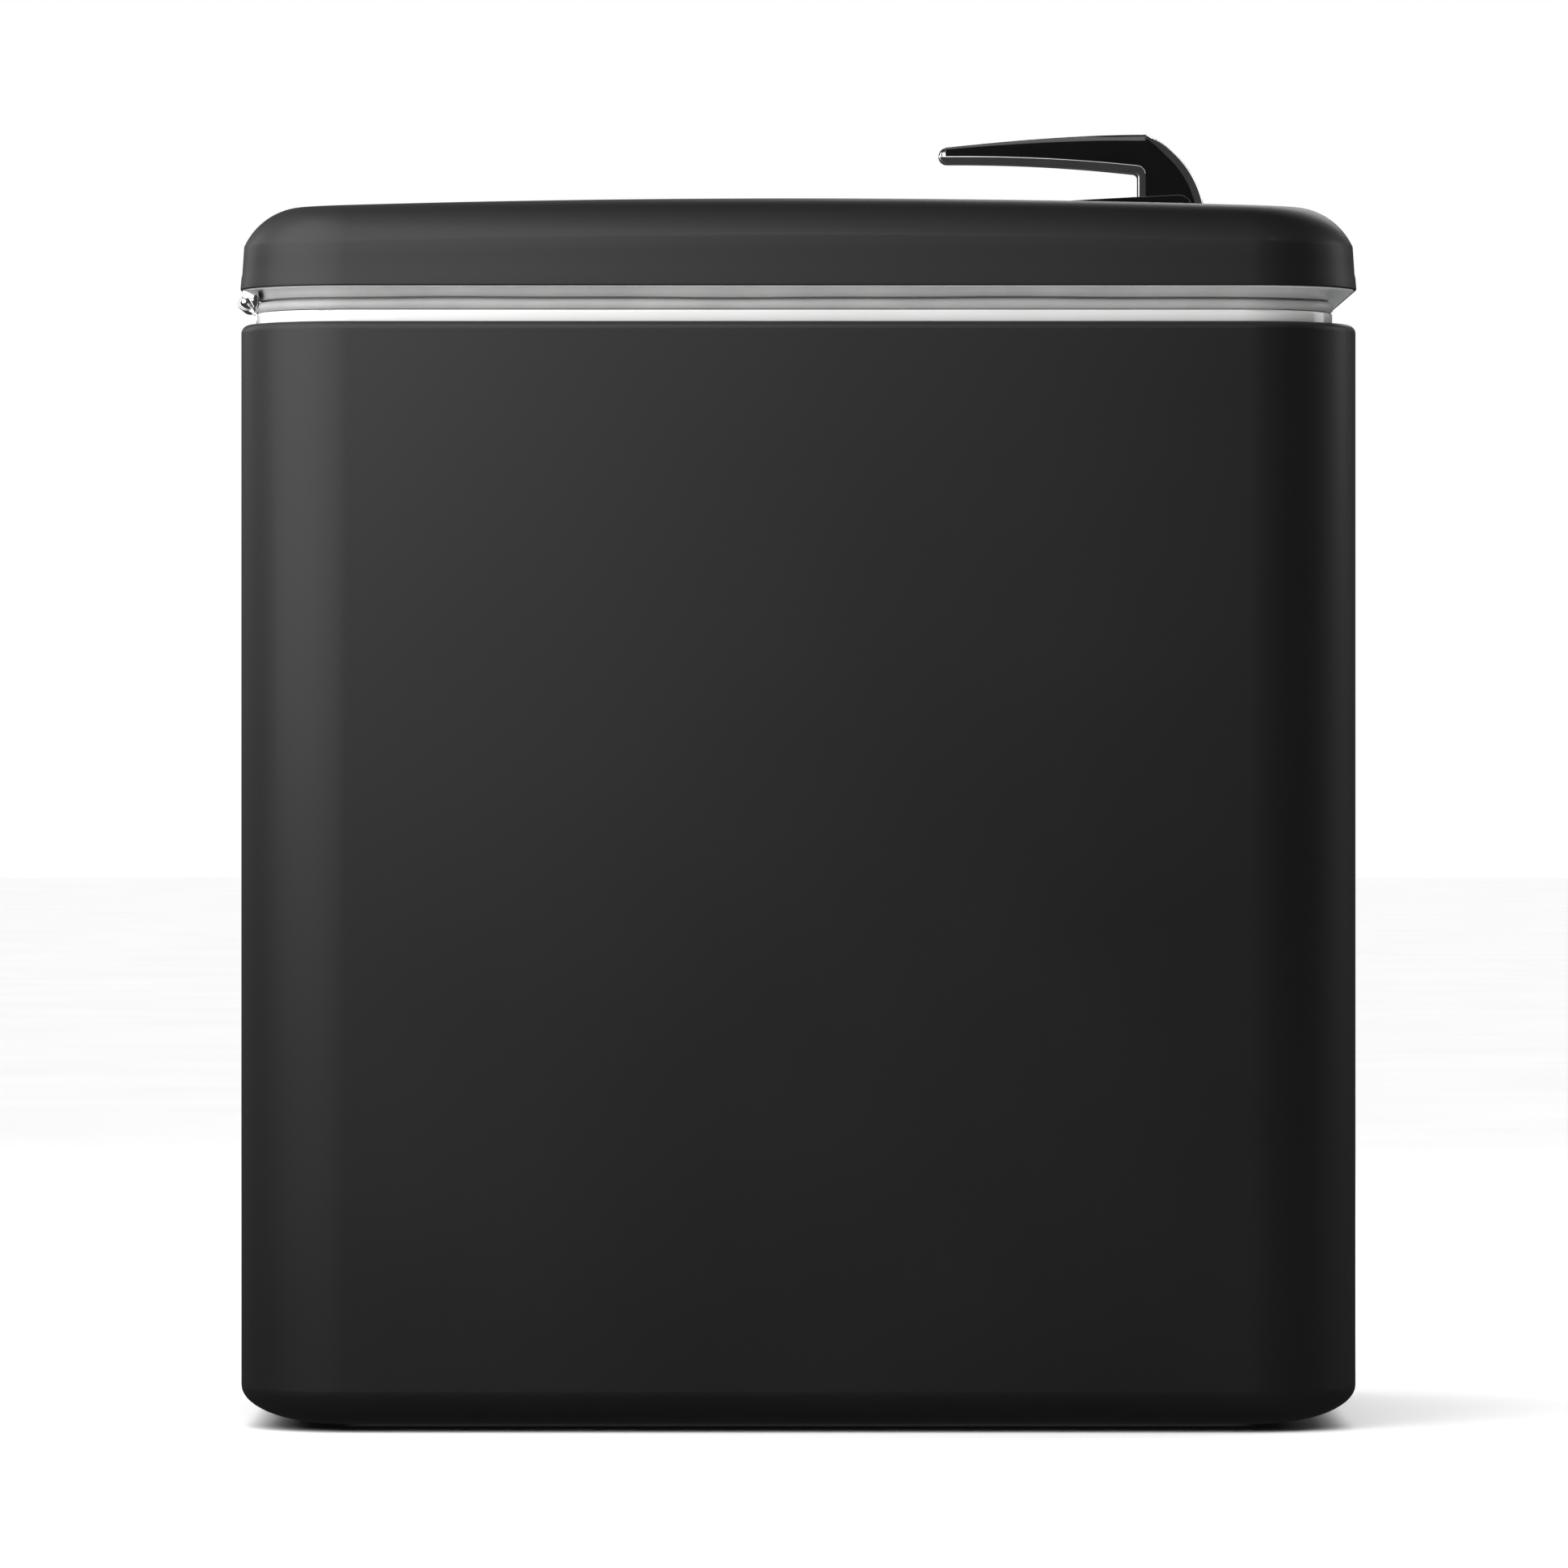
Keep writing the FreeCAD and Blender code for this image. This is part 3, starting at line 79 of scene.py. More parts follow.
class NodeBench:
    """Adds shader nodes to one material and joins them."""

    def __init__(self, material: bpy.types.Material) -> None:
        """Empties the material's node tree and gives it a shader and an output.

        Args:
            material: The material to fill.
        """
        material.use_nodes = True
        self.tree = material.node_tree
        self.tree.nodes.clear()
        output = self.add("ShaderNodeOutputMaterial")
        self.shader = self.add("ShaderNodeBsdfPrincipled")
        self.join(self.shader.outputs["BSDF"], output.inputs["Surface"])
        self.place = self.add("ShaderNodeTexCoord").outputs["Object"]

    def add(self, kind: str, **values: object) -> bpy.types.Node:
        """Adds a node.

        Args:
            kind: The node's Blender type.
            **values: Its properties.

        Returns:
            The new node.
        """
        node = self.tree.nodes.new(kind)
        for name, value in values.items():
            setattr(node, name, value)
        return node

    def join(self, source: bpy.types.NodeSocket, target: bpy.types.NodeSocket) -> None:
        """Links one socket to another."""
        self.tree.links.new(source, target)

    def stretched(self, scale: Sequence[float]) -> bpy.types.NodeSocket:
        """Object coordinates drawn out along one or more axes.

        Args:
            scale: How fine the pattern runs along X, Y and Z.

        Returns:
            The stretched coordinates.
        """
        mapping = self.add("ShaderNodeMapping")
        mapping.inputs["Scale"].default_value = scale
        self.join(self.place, mapping.inputs["Vector"])
        return mapping.outputs["Vector"]

    def noise(self, where: bpy.types.NodeSocket, scale: float, detail: float = 3.0) -> bpy.types.NodeSocket:
        """Cloudy noise.

        Args:
            where: The coordinates to read.
            scale: Repeats in a metre.
            detail: How many finer layers it has.

        Returns:
            The noise's factor.
        """
        node = self.add("ShaderNodeTexNoise")
        node.inputs["Scale"].default_value = scale
        node.inputs["Detail"].default_value = detail
        self.join(where, node.inputs["Vector"])
        return node.outputs["Fac"]

    def shades(self, factor: bpy.types.NodeSocket, dark: Colour, light: Colour,
               low: float = 0.3, high: float = 0.7) -> bpy.types.NodeSocket:
        """Two shades of one colour, spread by a factor.

        Args:
            factor: What picks the shade.
            dark: The colour at and below low.
            light: The colour at and above high.
            low: Where the ramp starts.
            high: Where it ends.

        Returns:
            The colour.
        """
        ramp = self.add("ShaderNodeValToRGB")
        first, last = ramp.color_ramp.elements
        first.position, last.position = low, high
        first.color, last.color = (*dark, 1.0), (*light, 1.0)
        self.join(factor, ramp.inputs["Fac"])
        return ramp.outputs["Color"]

    def spread(self, factor: bpy.types.NodeSocket, low: float, high: float) -> bpy.types.NodeSocket:
        """Turns a factor about one half into a number between two limits.

        Args:
            factor: The factor, mostly from 0.3 to 0.7.
            low: The number at 0.3.
            high: The number at 0.7.

        Returns:
            The number.
        """
        node = self.add("ShaderNodeMapRange")
        for name, value in (("From Min", 0.3), ("From Max", 0.7), ("To Min", low), ("To Max", high)):
            node.inputs[name].default_value = value
        self.join(factor, node.inputs["Value"])
        return node.outputs["Result"]

    def relief(self, height: bpy.types.NodeSocket, strength: float, depth: float) -> None:
        """Raises the surface by a height pattern.

        Args:
            height: The pattern.
            strength: How much of it shows.
            depth: Its depth in metres.
        """
        bump = self.add("ShaderNodeBump")
        bump.inputs["Strength"].default_value = strength
        bump.inputs["Distance"].default_value = depth
        self.join(height, bump.inputs["Height"])
        self.join(bump.outputs["Normal"], self.shader.inputs["Normal"])


@dataclass(frozen=True)
class Finish:
    """A surface finish with mottled colour, uneven gloss and a fine relief."""

    name: str
    dark: Colour
    light: Colour
    gloss: Point
    metal: float = 0.0
    mottle: float = 14.0
    grain: float = 900.0
    relief: float = 0.10
    depth: float = 0.0002
    specular: float = 0.5
    coat: float = 0.0
    coat_gloss: float = 0.08
    stretch: tuple[float, float, float] = (1.0, 1.0, 1.0)

    def build(self) -> bpy.types.Material:
        """Makes the finish's material.

        Returns:
            The material.
        """
        material = bpy.data.materials.new(self.name)
        bench = NodeBench(material)
        shader = bench.shader
        for socket, value in (("Metallic", self.metal), ("Specular IOR Level", self.specular),
                              ("Coat Weight", self.coat), ("Coat Roughness", self.coat_gloss)):
            shader.inputs[socket].default_value = value
        self.paint(bench)
        return material

    def paint(self, bench: NodeBench) -> None:
        """Lays colour, gloss and relief on the shader.

        Args:
            bench: The material's nodes.
        """
        where = bench.stretched(self.stretch)
        cloud = bench.noise(where, self.mottle)
        fine = bench.noise(where, self.grain, 2.0)
        bench.join(bench.shades(cloud, self.dark, self.light), bench.shader.inputs["Base Color"])
        bench.join(bench.spread(cloud, *self.gloss), bench.shader.inputs["Roughness"])
        bench.relief(fine, self.relief, self.depth)


@dataclass(frozen=True)
class Spangled(Finish):
    """Zinc-coated sheet with crystals a few millimetres across."""

    crystal: float = 160.0

    def paint(self, bench: NodeBench) -> None:
        """Lays the crystals' shades and gloss.

        Args:
            bench: The material's nodes.
        """
        cells = bench.add("ShaderNodeTexVoronoi")
        cells.inputs["Scale"].default_value = self.crystal
        bench.join(bench.place, cells.inputs["Vector"])
        single = bench.add("ShaderNodeSeparateColor")
        bench.join(cells.outputs["Color"], single.inputs["Color"])
        shade = bench.shades(single.outputs["Red"], self.dark, self.light, 0.0, 1.0)
        bench.join(shade, bench.shader.inputs["Base Color"])
        bench.join(bench.spread(single.outputs["Green"], *self.gloss), bench.shader.inputs["Roughness"])
        bench.relief(bench.noise(bench.place, self.grain), self.relief, self.depth)


@dataclass(frozen=True)
class Scuffed(Finish):
    """A polished or plated finish with hairline scuffs in its gloss."""

    hairline: float = 260.0

    def paint(self, bench: NodeBench) -> None:
        """Lays colour, scuffed gloss and a trace of waviness.

        Args:
            bench: The material's nodes.
        """
        cloud = bench.noise(bench.stretched(self.stretch), self.mottle)
        lines = bench.noise(bench.stretched((0.12, 1.0, 1.0)), self.hairline, 6.0)
        bench.join(bench.shades(cloud, self.dark, self.light), bench.shader.inputs["Base Color"])
        bench.join(bench.spread(lines, *self.gloss), bench.shader.inputs["Roughness"])
        bench.relief(cloud, self.relief, self.depth)


FINISHES: dict[str, Finish] = {
    "enamel": Finish("satin_black_enamel", (0.0052, 0.0052, 0.0055), (0.0068, 0.0068, 0.0072), (0.535, 0.58),
                     mottle=5.0, grain=1500.0, relief=0.05, depth=0.0001, coat=0.05, coat_gloss=0.20),
    "collar_white": Finish("white_gloss_enamel", (0.80, 0.80, 0.79), (0.86, 0.86, 0.855), (0.16, 0.24),
                           mottle=9.0, grain=700.0, relief=0.03, coat=0.3),
    "gasket": Finish("grey_vinyl_seal", (0.33, 0.33, 0.327), (0.40, 0.40, 0.396), (0.34, 0.46),
                     mottle=30.0, grain=2400.0, relief=0.10, depth=0.0001, specular=0.4),
    "chrome": Scuffed("polished_chrome", (0.70, 0.70, 0.71), (0.80, 0.80, 0.81), (0.03, 0.09), metal=1.0,
                      mottle=60.0, relief=0.02, depth=0.0001),
    "lever_black": Scuffed("mirror_black", (0.0035, 0.0035, 0.0040), (0.0060, 0.0060, 0.0066), (0.03, 0.08),
                           mottle=40.0, relief=0.02, depth=0.0001, coat=0.6, coat_gloss=0.03),
    "galvanised": Spangled("galvanised_sheet", (0.38, 0.39, 0.41), (0.60, 0.61, 0.63), (0.28, 0.48),
                           metal=1.0, grain=400.0, relief=0.05),
    "stainless": Finish("brushed_stainless", (0.50, 0.50, 0.495), (0.60, 0.595, 0.585), (0.27, 0.36),
                        metal=1.0, mottle=900.0, grain=1500.0, relief=0.04, depth=0.0001,
                        stretch=(0.04, 0.04, 1.0)),
    "frame_steel": Finish("dark_grey_primer", (0.050, 0.052, 0.056), (0.085, 0.087, 0.092), (0.42, 0.58),
                          mottle=60.0, grain=1100.0, relief=0.18),
    "machined": Finish("machined_steel", (0.40, 0.40, 0.41), (0.58, 0.58, 0.59), (0.22, 0.36), metal=1.0,
                       mottle=300.0, grain=1400.0, relief=0.12, depth=0.0001, stretch=(1.0, 0.08, 1.0)),
    "cast": Finish("painted_casting", (0.10, 0.105, 0.11), (0.17, 0.175, 0.18), (0.45, 0.65),
                   mottle=120.0, grain=520.0, relief=0.45, depth=0.0004),
    "zinc": Scuffed("bright_zinc", (0.52, 0.52, 0.50), (0.70, 0.69, 0.64), (0.16, 0.32),
                     metal=1.0, mottle=240.0),
    "foot_rubber": Finish("moulded_rubber", (0.018, 0.018, 0.018), (0.040, 0.040, 0.040), (0.62, 0.80),
                          mottle=90.0, grain=1600.0, relief=0.30),
    "black_plastic": Finish("grained_plastic", (0.018, 0.018, 0.020), (0.034, 0.034, 0.037), (0.42, 0.55),
                            mottle=70.0, grain=2200.0, relief=0.30, depth=0.0001),
    "liner_grey": Finish("pale_grey_enamel", (0.55, 0.56, 0.56), (0.575, 0.585, 0.585), (0.28, 0.31),
                         mottle=10.0, grain=900.0, relief=0.05),
    "board": Finish("glass_epoxy_board", (0.015, 0.10, 0.04), (0.03, 0.17, 0.07), (0.30, 0.42),
                    mottle=500.0, grain=1800.0, relief=0.20, depth=0.0001),
    "start_green": Finish("green_button_plastic", (0.035, 0.22, 0.075), (0.05, 0.28, 0.10), (0.20, 0.30),
                          mottle=180.0, grain=2000.0, relief=0.06, coat=0.3),
    "stop_red": Finish("red_button_plastic", (0.40, 0.020, 0.016), (0.52, 0.030, 0.022), (0.20, 0.30),
                       mottle=180.0, grain=2000.0, relief=0.06, coat=0.3),
    "filter_grey": Finish("moulded_filter_grey", (0.16, 0.165, 0.17), (0.23, 0.235, 0.24), (0.45, 0.60),
                          mottle=80.0, grain=1900.0, relief=0.25),
    "brass": Scuffed("contact_brass", (0.55, 0.40, 0.16), (0.74, 0.57, 0.27), (0.14, 0.28),
                      metal=1.0, mottle=200.0),
}


class Paintshop:
    """Makes each finish once and hands it out by its slot."""

    def __init__(self) -> None:
        """Starts with no material made."""
        self.made: dict[str, bpy.types.Material] = {}

    def of(self, slot: str) -> bpy.types.Material:
        """The material of a slot, made when it is first asked for.

        Args:
            slot: The record's material slot.

        Returns:
            Its material.
        """
        if slot not in self.made:
            self.made[slot] = FINISHES[slot].build()
        return self.made[slot]

    def dress_frame(self) -> None:
        """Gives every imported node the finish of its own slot."""
        for part in frame["record"]["subparts"]:
            node = frame["nodes"][part["node"]]
            node.data.materials.clear()
            node.data.materials.append(self.of(part["material_slot"]))


PAINT = Paintshop()

# ---------------------------------------------------------------- mesh tools


def arc(centre: Point, radius: float, start: float, end: float, steps: int) -> list[Point]:
    """Points along an arc, both ends included.

    Args:
        centre: The arc's centre.
        radius: Its radius.
        start: The first point's direction in degrees.
        end: The last point's direction in degrees.
        steps: How many stretches it has.

    Returns:
        The points in order.
    """
    turns = (math.radians(start + (end - start) * k / steps) for k in range(steps + 1))
    return [(centre[0] + radius * math.cos(t), centre[1] + radius * math.sin(t)) for t in turns]


def bow(start: Point, middle: Point, end: Point, steps: int) -> list[Point]:
    """Points along a shallow curve through three points.

    Args:
        start: The first point.
        middle: A point on the way.
        end: The last point.
        steps: How many stretches it has.

    Returns:
        The points in order.
    """
    control = [2 * middle[k] - (start[k] + end[k]) / 2 for k in (0, 1)]
    shares = [step / steps for step in range(steps + 1)]
    return [tuple((1 - t) ** 2 * start[k] + 2 * t * (1 - t) * control[k] + t * t * end[k] for k in (0, 1))
            for t in shares]


def side_outline(mesh: bmesh.types.BMesh, points: Iterable[Point], y: float = 0.0,
                 closed: bool = True) -> list[bmesh.types.BMEdge]:
    """Draws an outline in the side plane.

    Args:
        mesh: The mesh to draw in.
        points: The outline's x and z.
        y: Where the plane stands.
        closed: Whether the last point joins the first.

    Returns:
        The outline's edges.
    """
    verts = [mesh.verts.new((x, y, z)) for x, z in points]
    pairs = list(zip(verts, verts[1:] + verts[:1]))
    return [mesh.edges.new(pair) for pair in (pairs if closed else pairs[:-1])]


def bar_across(mesh: bmesh.types.BMesh, points: Iterable[Point], low: float,
               high: float) -> list[bmesh.types.BMVert]:
    """A side outline drawn out across the model.

    Args:
        mesh: The mesh to build in.
        points: The outline's x and z.
        low: Where the bar starts along Y.
        high: Where it ends.

    Returns:
        The bar's vertices.
    """
    edges = side_outline(mesh, points, low)
    face = bmesh.ops.contextual_create(mesh, geom=edges)["faces"]
    drawn = bmesh.ops.extrude_face_region(mesh, geom=face, use_keep_orig=True)["geom"]
    moved = [item for item in drawn if isinstance(item, bmesh.types.BMVert)]
    bmesh.ops.translate(mesh, verts=moved, vec=(0.0, high - low, 0.0))
    return list(dict.fromkeys(vert for edge in edges for vert in edge.verts)) + moved


def block(mesh: bmesh.types.BMesh, low: Sequence[float], high: Sequence[float]) -> list[bmesh.types.BMVert]:
    """A plain block between two corners.

    Args:
        mesh: The mesh to build in.
        low: Its lowest corner.
        high: Its highest corner.

    Returns:
        The block's vertices.
    """
    size = Vector(high) - Vector(low)
    middle = (Vector(high) + Vector(low)) / 2
    place = Matrix.Translation(middle) @ Matrix.Diagonal((*size, 1.0))
    return bmesh.ops.create_cube(mesh, size=1.0, matrix=place)["verts"]


def edges_of(verts: Iterable[bmesh.types.BMVert],
             chosen: Callable[[bmesh.types.BMEdge], bool] = lambda edge: True) -> list[bmesh.types.BMEdge]:
    """The edges that run between given vertices and pass a test.

    Args:
        verts: The vertices.
        chosen: The test.

    Returns:
        The edges.
    """
    held = dict.fromkeys(verts)
    found = dict.fromkeys(edge for vert in held for edge in vert.link_edges if edge.other_vert(vert) in held)
    return [edge for edge in found if chosen(edge)]


def direction(edge: bmesh.types.BMEdge) -> Vector:
    """The unit vector along an edge."""
    return (edge.verts[1].co - edge.verts[0].co).normalized()


def all_of(faces: Sequence[bmesh.types.BMFace]) -> list[object]:
    """Faces with their edges and vertices, each once and in a fixed order."""
    edges = dict.fromkeys(edge for face in faces for edge in face.edges)
    verts = dict.fromkeys(vert for face in faces for vert in face.verts)
    return list(faces) + list(edges) + list(verts)


def soften(mesh: bmesh.types.BMesh, edges: Iterable[bmesh.types.BMEdge], radius: float,
           segments: int = 3) -> None:
    """Rounds edges over.

    Args:
        mesh: The mesh they are in.
        edges: The edges.
        radius: How far the rounding reaches.
        segments: How many faces it has.
    """
    bmesh.ops.bevel(mesh, geom=list(edges), offset=radius, offset_type="OFFSET", segments=segments,
                    profile=0.5, affect="EDGES", clamp_overlap=True, material=-1)


def sharp(degrees: float) -> Callable[[bmesh.types.BMEdge], bool]:
    """A test for edges whose faces meet at more than an angle.

    Args:
        degrees: The angle.

    Returns:
        The test.
    """
    limit = math.radians(degrees)
    return lambda edge: len(edge.link_faces) == 2 and edge.calc_face_angle(0.0) > limit


def turned(mesh: bmesh.types.BMesh, profile: Sequence[Point], centre: Sequence[float], axis: Axis,
           steps: int = 32) -> list[bmesh.types.BMVert]:
    """A lathe-turned piece.

    Args:
        mesh: The mesh to build in.
        profile: Radius and height along the axis, starting and ending on the axis or at one point.
        centre: Where height 0 is.
        axis: The axis it turns about.
        steps: How many faces it has around.

    Returns:
        The piece's vertices.
    """
    before = set(mesh.verts)
    edges = side_outline(mesh, profile, closed=profile[0][0] > 1e-7)
    start = list(dict.fromkeys(vert for edge in edges for vert in edge.verts))
    bmesh.ops.spin(mesh, geom=start + edges, cent=(0, 0, 0), axis=(0, 0, 1), dvec=(0, 0, 0),
                   angle=2 * math.pi, steps=steps, use_merge=True)
    made = [vert for vert in mesh.verts if vert not in before]
    bmesh.ops.remove_doubles(mesh, verts=made, dist=1e-6)
    made = [vert for vert in mesh.verts if vert not in before]
    turn = Axis.Z.value.rotation_difference(axis.value).to_matrix().to_4x4()
    bmesh.ops.transform(mesh, matrix=Matrix.Translation(centre) @ turn, verts=made)
    return made


def swept_round(mesh: bmesh.types.BMesh, profile: Sequence[Point], span: Point, shift: float = 0.0,
                corner_steps: int = 14, closed: bool = True, run_steps: tuple[int, int] = (1, 1)) -> None:
    """A wall section carried round a rounded rectangle.

    Args:
        mesh: The mesh to build in.
        profile: The section; its x is counted from the corner's centre.
        span: Half the distance between corner centres along X and Y.
        shift: Where the rectangle's centre stands along X.
        corner_steps: How many faces each corner has.
        closed: Whether the section's last point joins its first.
        run_steps: How many faces the straight walls have along X and Y.
    """
    out, half = span
    edges = side_outline(mesh, [(x + out, z) for x, z in profile], -half, closed)
    geom: list[object] = edges
    corners = ((out, half), (-out, half), (-out, -half), (out, -half))
    for corner, (run_x, run_y) in zip(corners, ((0, 1), (-1, 0), (0, -1), (1, 0))):
        steps = run_steps[0] if run_x else run_steps[1]
        stride = (run_x * 2 * out / steps, run_y * 2 * half / steps, 0.0)
        for _ in range(steps):
            kept = [item for item in geom if isinstance(item, bmesh.types.BMEdge)]
            drawn = bmesh.ops.extrude_edge_only(mesh, edges=kept)["geom"]
            moved = [item for item in drawn if isinstance(item, bmesh.types.BMVert)]
            bmesh.ops.translate(mesh, verts=moved, vec=stride)
            held = set(moved)
            geom = moved + [item for item in drawn
                            if isinstance(item, bmesh.types.BMEdge) and set(item.verts) <= held]
        spun = bmesh.ops.spin(mesh, geom=geom, cent=(*corner, 0), axis=(0, 0, 1), dvec=(0, 0, 0),
                              angle=math.pi / 2, steps=corner_steps, use_merge=False)
        geom = spun["geom_last"]
    bmesh.ops.remove_doubles(mesh, verts=mesh.verts, dist=1e-6)
    bmesh.ops.translate(mesh, verts=mesh.verts, vec=(shift, 0, 0))


def rounded_slab(mesh: bmesh.types.BMesh, low: Sequence[float], high: Sequence[float], radius: float,
                 along: Axis = Axis.Z, segments: int = 5) -> list[bmesh.types.BMVert]:
    """A block whose four edges along one axis are rounded.

    Args:
        mesh: The mesh to build in.
        low: Its lowest corner.
        high: Its highest corner.
        radius: The rounding.
        along: The axis that the rounded edges run along.
        segments: How many faces each rounding has.

    Returns:
        The block's vertices.
    """
    before = set(mesh.verts)
    verts = block(mesh, low, high)
    corners = edges_of(verts, lambda edge: abs(direction(edge).dot(along.value)) > 0.9)
    soften(mesh, corners, radius, segments)
    return [vert for vert in mesh.verts if vert not in before]


def even(piece: bpy.types.Object) -> bpy.types.Object:
    """Weights a piece's shading towards its large faces, so that flat ones stay flat to their edges."""
    shading = piece.modifiers.new("even_shading", "WEIGHTED_NORMAL")
    shading.keep_sharp = True
    return piece


def eased(node: str, slot: str, body: str, radius: float, segments: int = 2,
          crease: float = 30.0) -> bpy.types.Object:
    """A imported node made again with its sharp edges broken, as a deburred or cast piece has them.

    Args:
        node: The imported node.
        slot: Its material slot.
        body: The body it rides on.
        radius: How far each edge is broken.
        segments: How many faces each broken edge has.
        crease: Edges sharper than this many degrees are broken.

    Returns:
        The piece that stands for the node.
    """
    mesh = bmesh.new()
    mesh.from_mesh(frame["nodes"][node].data)
    bmesh.ops.remove_doubles(mesh, verts=mesh.verts, dist=2e-6)
    bmesh.ops.dissolve_limit(mesh, angle_limit=math.radians(0.6), verts=mesh.verts, edges=mesh.edges)
    soften(mesh, edges_of(mesh.verts, sharp(crease)), radius, segments)
    return even(finished("eased_" + node, mesh, slot, body, [node]))


def finished(name: str, mesh: bmesh.types.BMesh, slot: str, body: str, replaces: Sequence[str] = (),
             crease: float = 40.0) -> bpy.types.Object:
    """Turns a built mesh into a piece of the model.

    Args:
        name: The piece's name.
        mesh: The built mesh, which is used up.
        slot: The material slot it takes its finish from.
        body: The body it rides on.
        replaces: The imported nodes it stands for.
        crease: Edges sharper than this many degrees stay sharp.

    Returns:
        The piece.
    """
    bmesh.ops.recalc_face_normals(mesh, faces=mesh.faces)
    data = bpy.data.meshes.new(name)
    mesh.to_mesh(data)
    mesh.free()
    data.shade_smooth()
    data.set_sharp_from_angle(angle=math.radians(crease))
    piece = bpy.data.objects.new(name, data)
    bpy.context.scene.collection.objects.link(piece)
    data.materials.append(PAINT.of(slot))
    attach(piece, body)
    if replaces:
        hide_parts(*replaces)
    log.info("%s: %d faces on %s", name, len(data.polygons), body)
    return piece


# ---------------------------------------------------------------- sub-assemblies


CORNER_SPAN = (0.245, 0.1305)
THROAT_SPAN = (0.24325, 0.1305)
THROAT_SHIFT = -0.002
SHEET = 0.0015


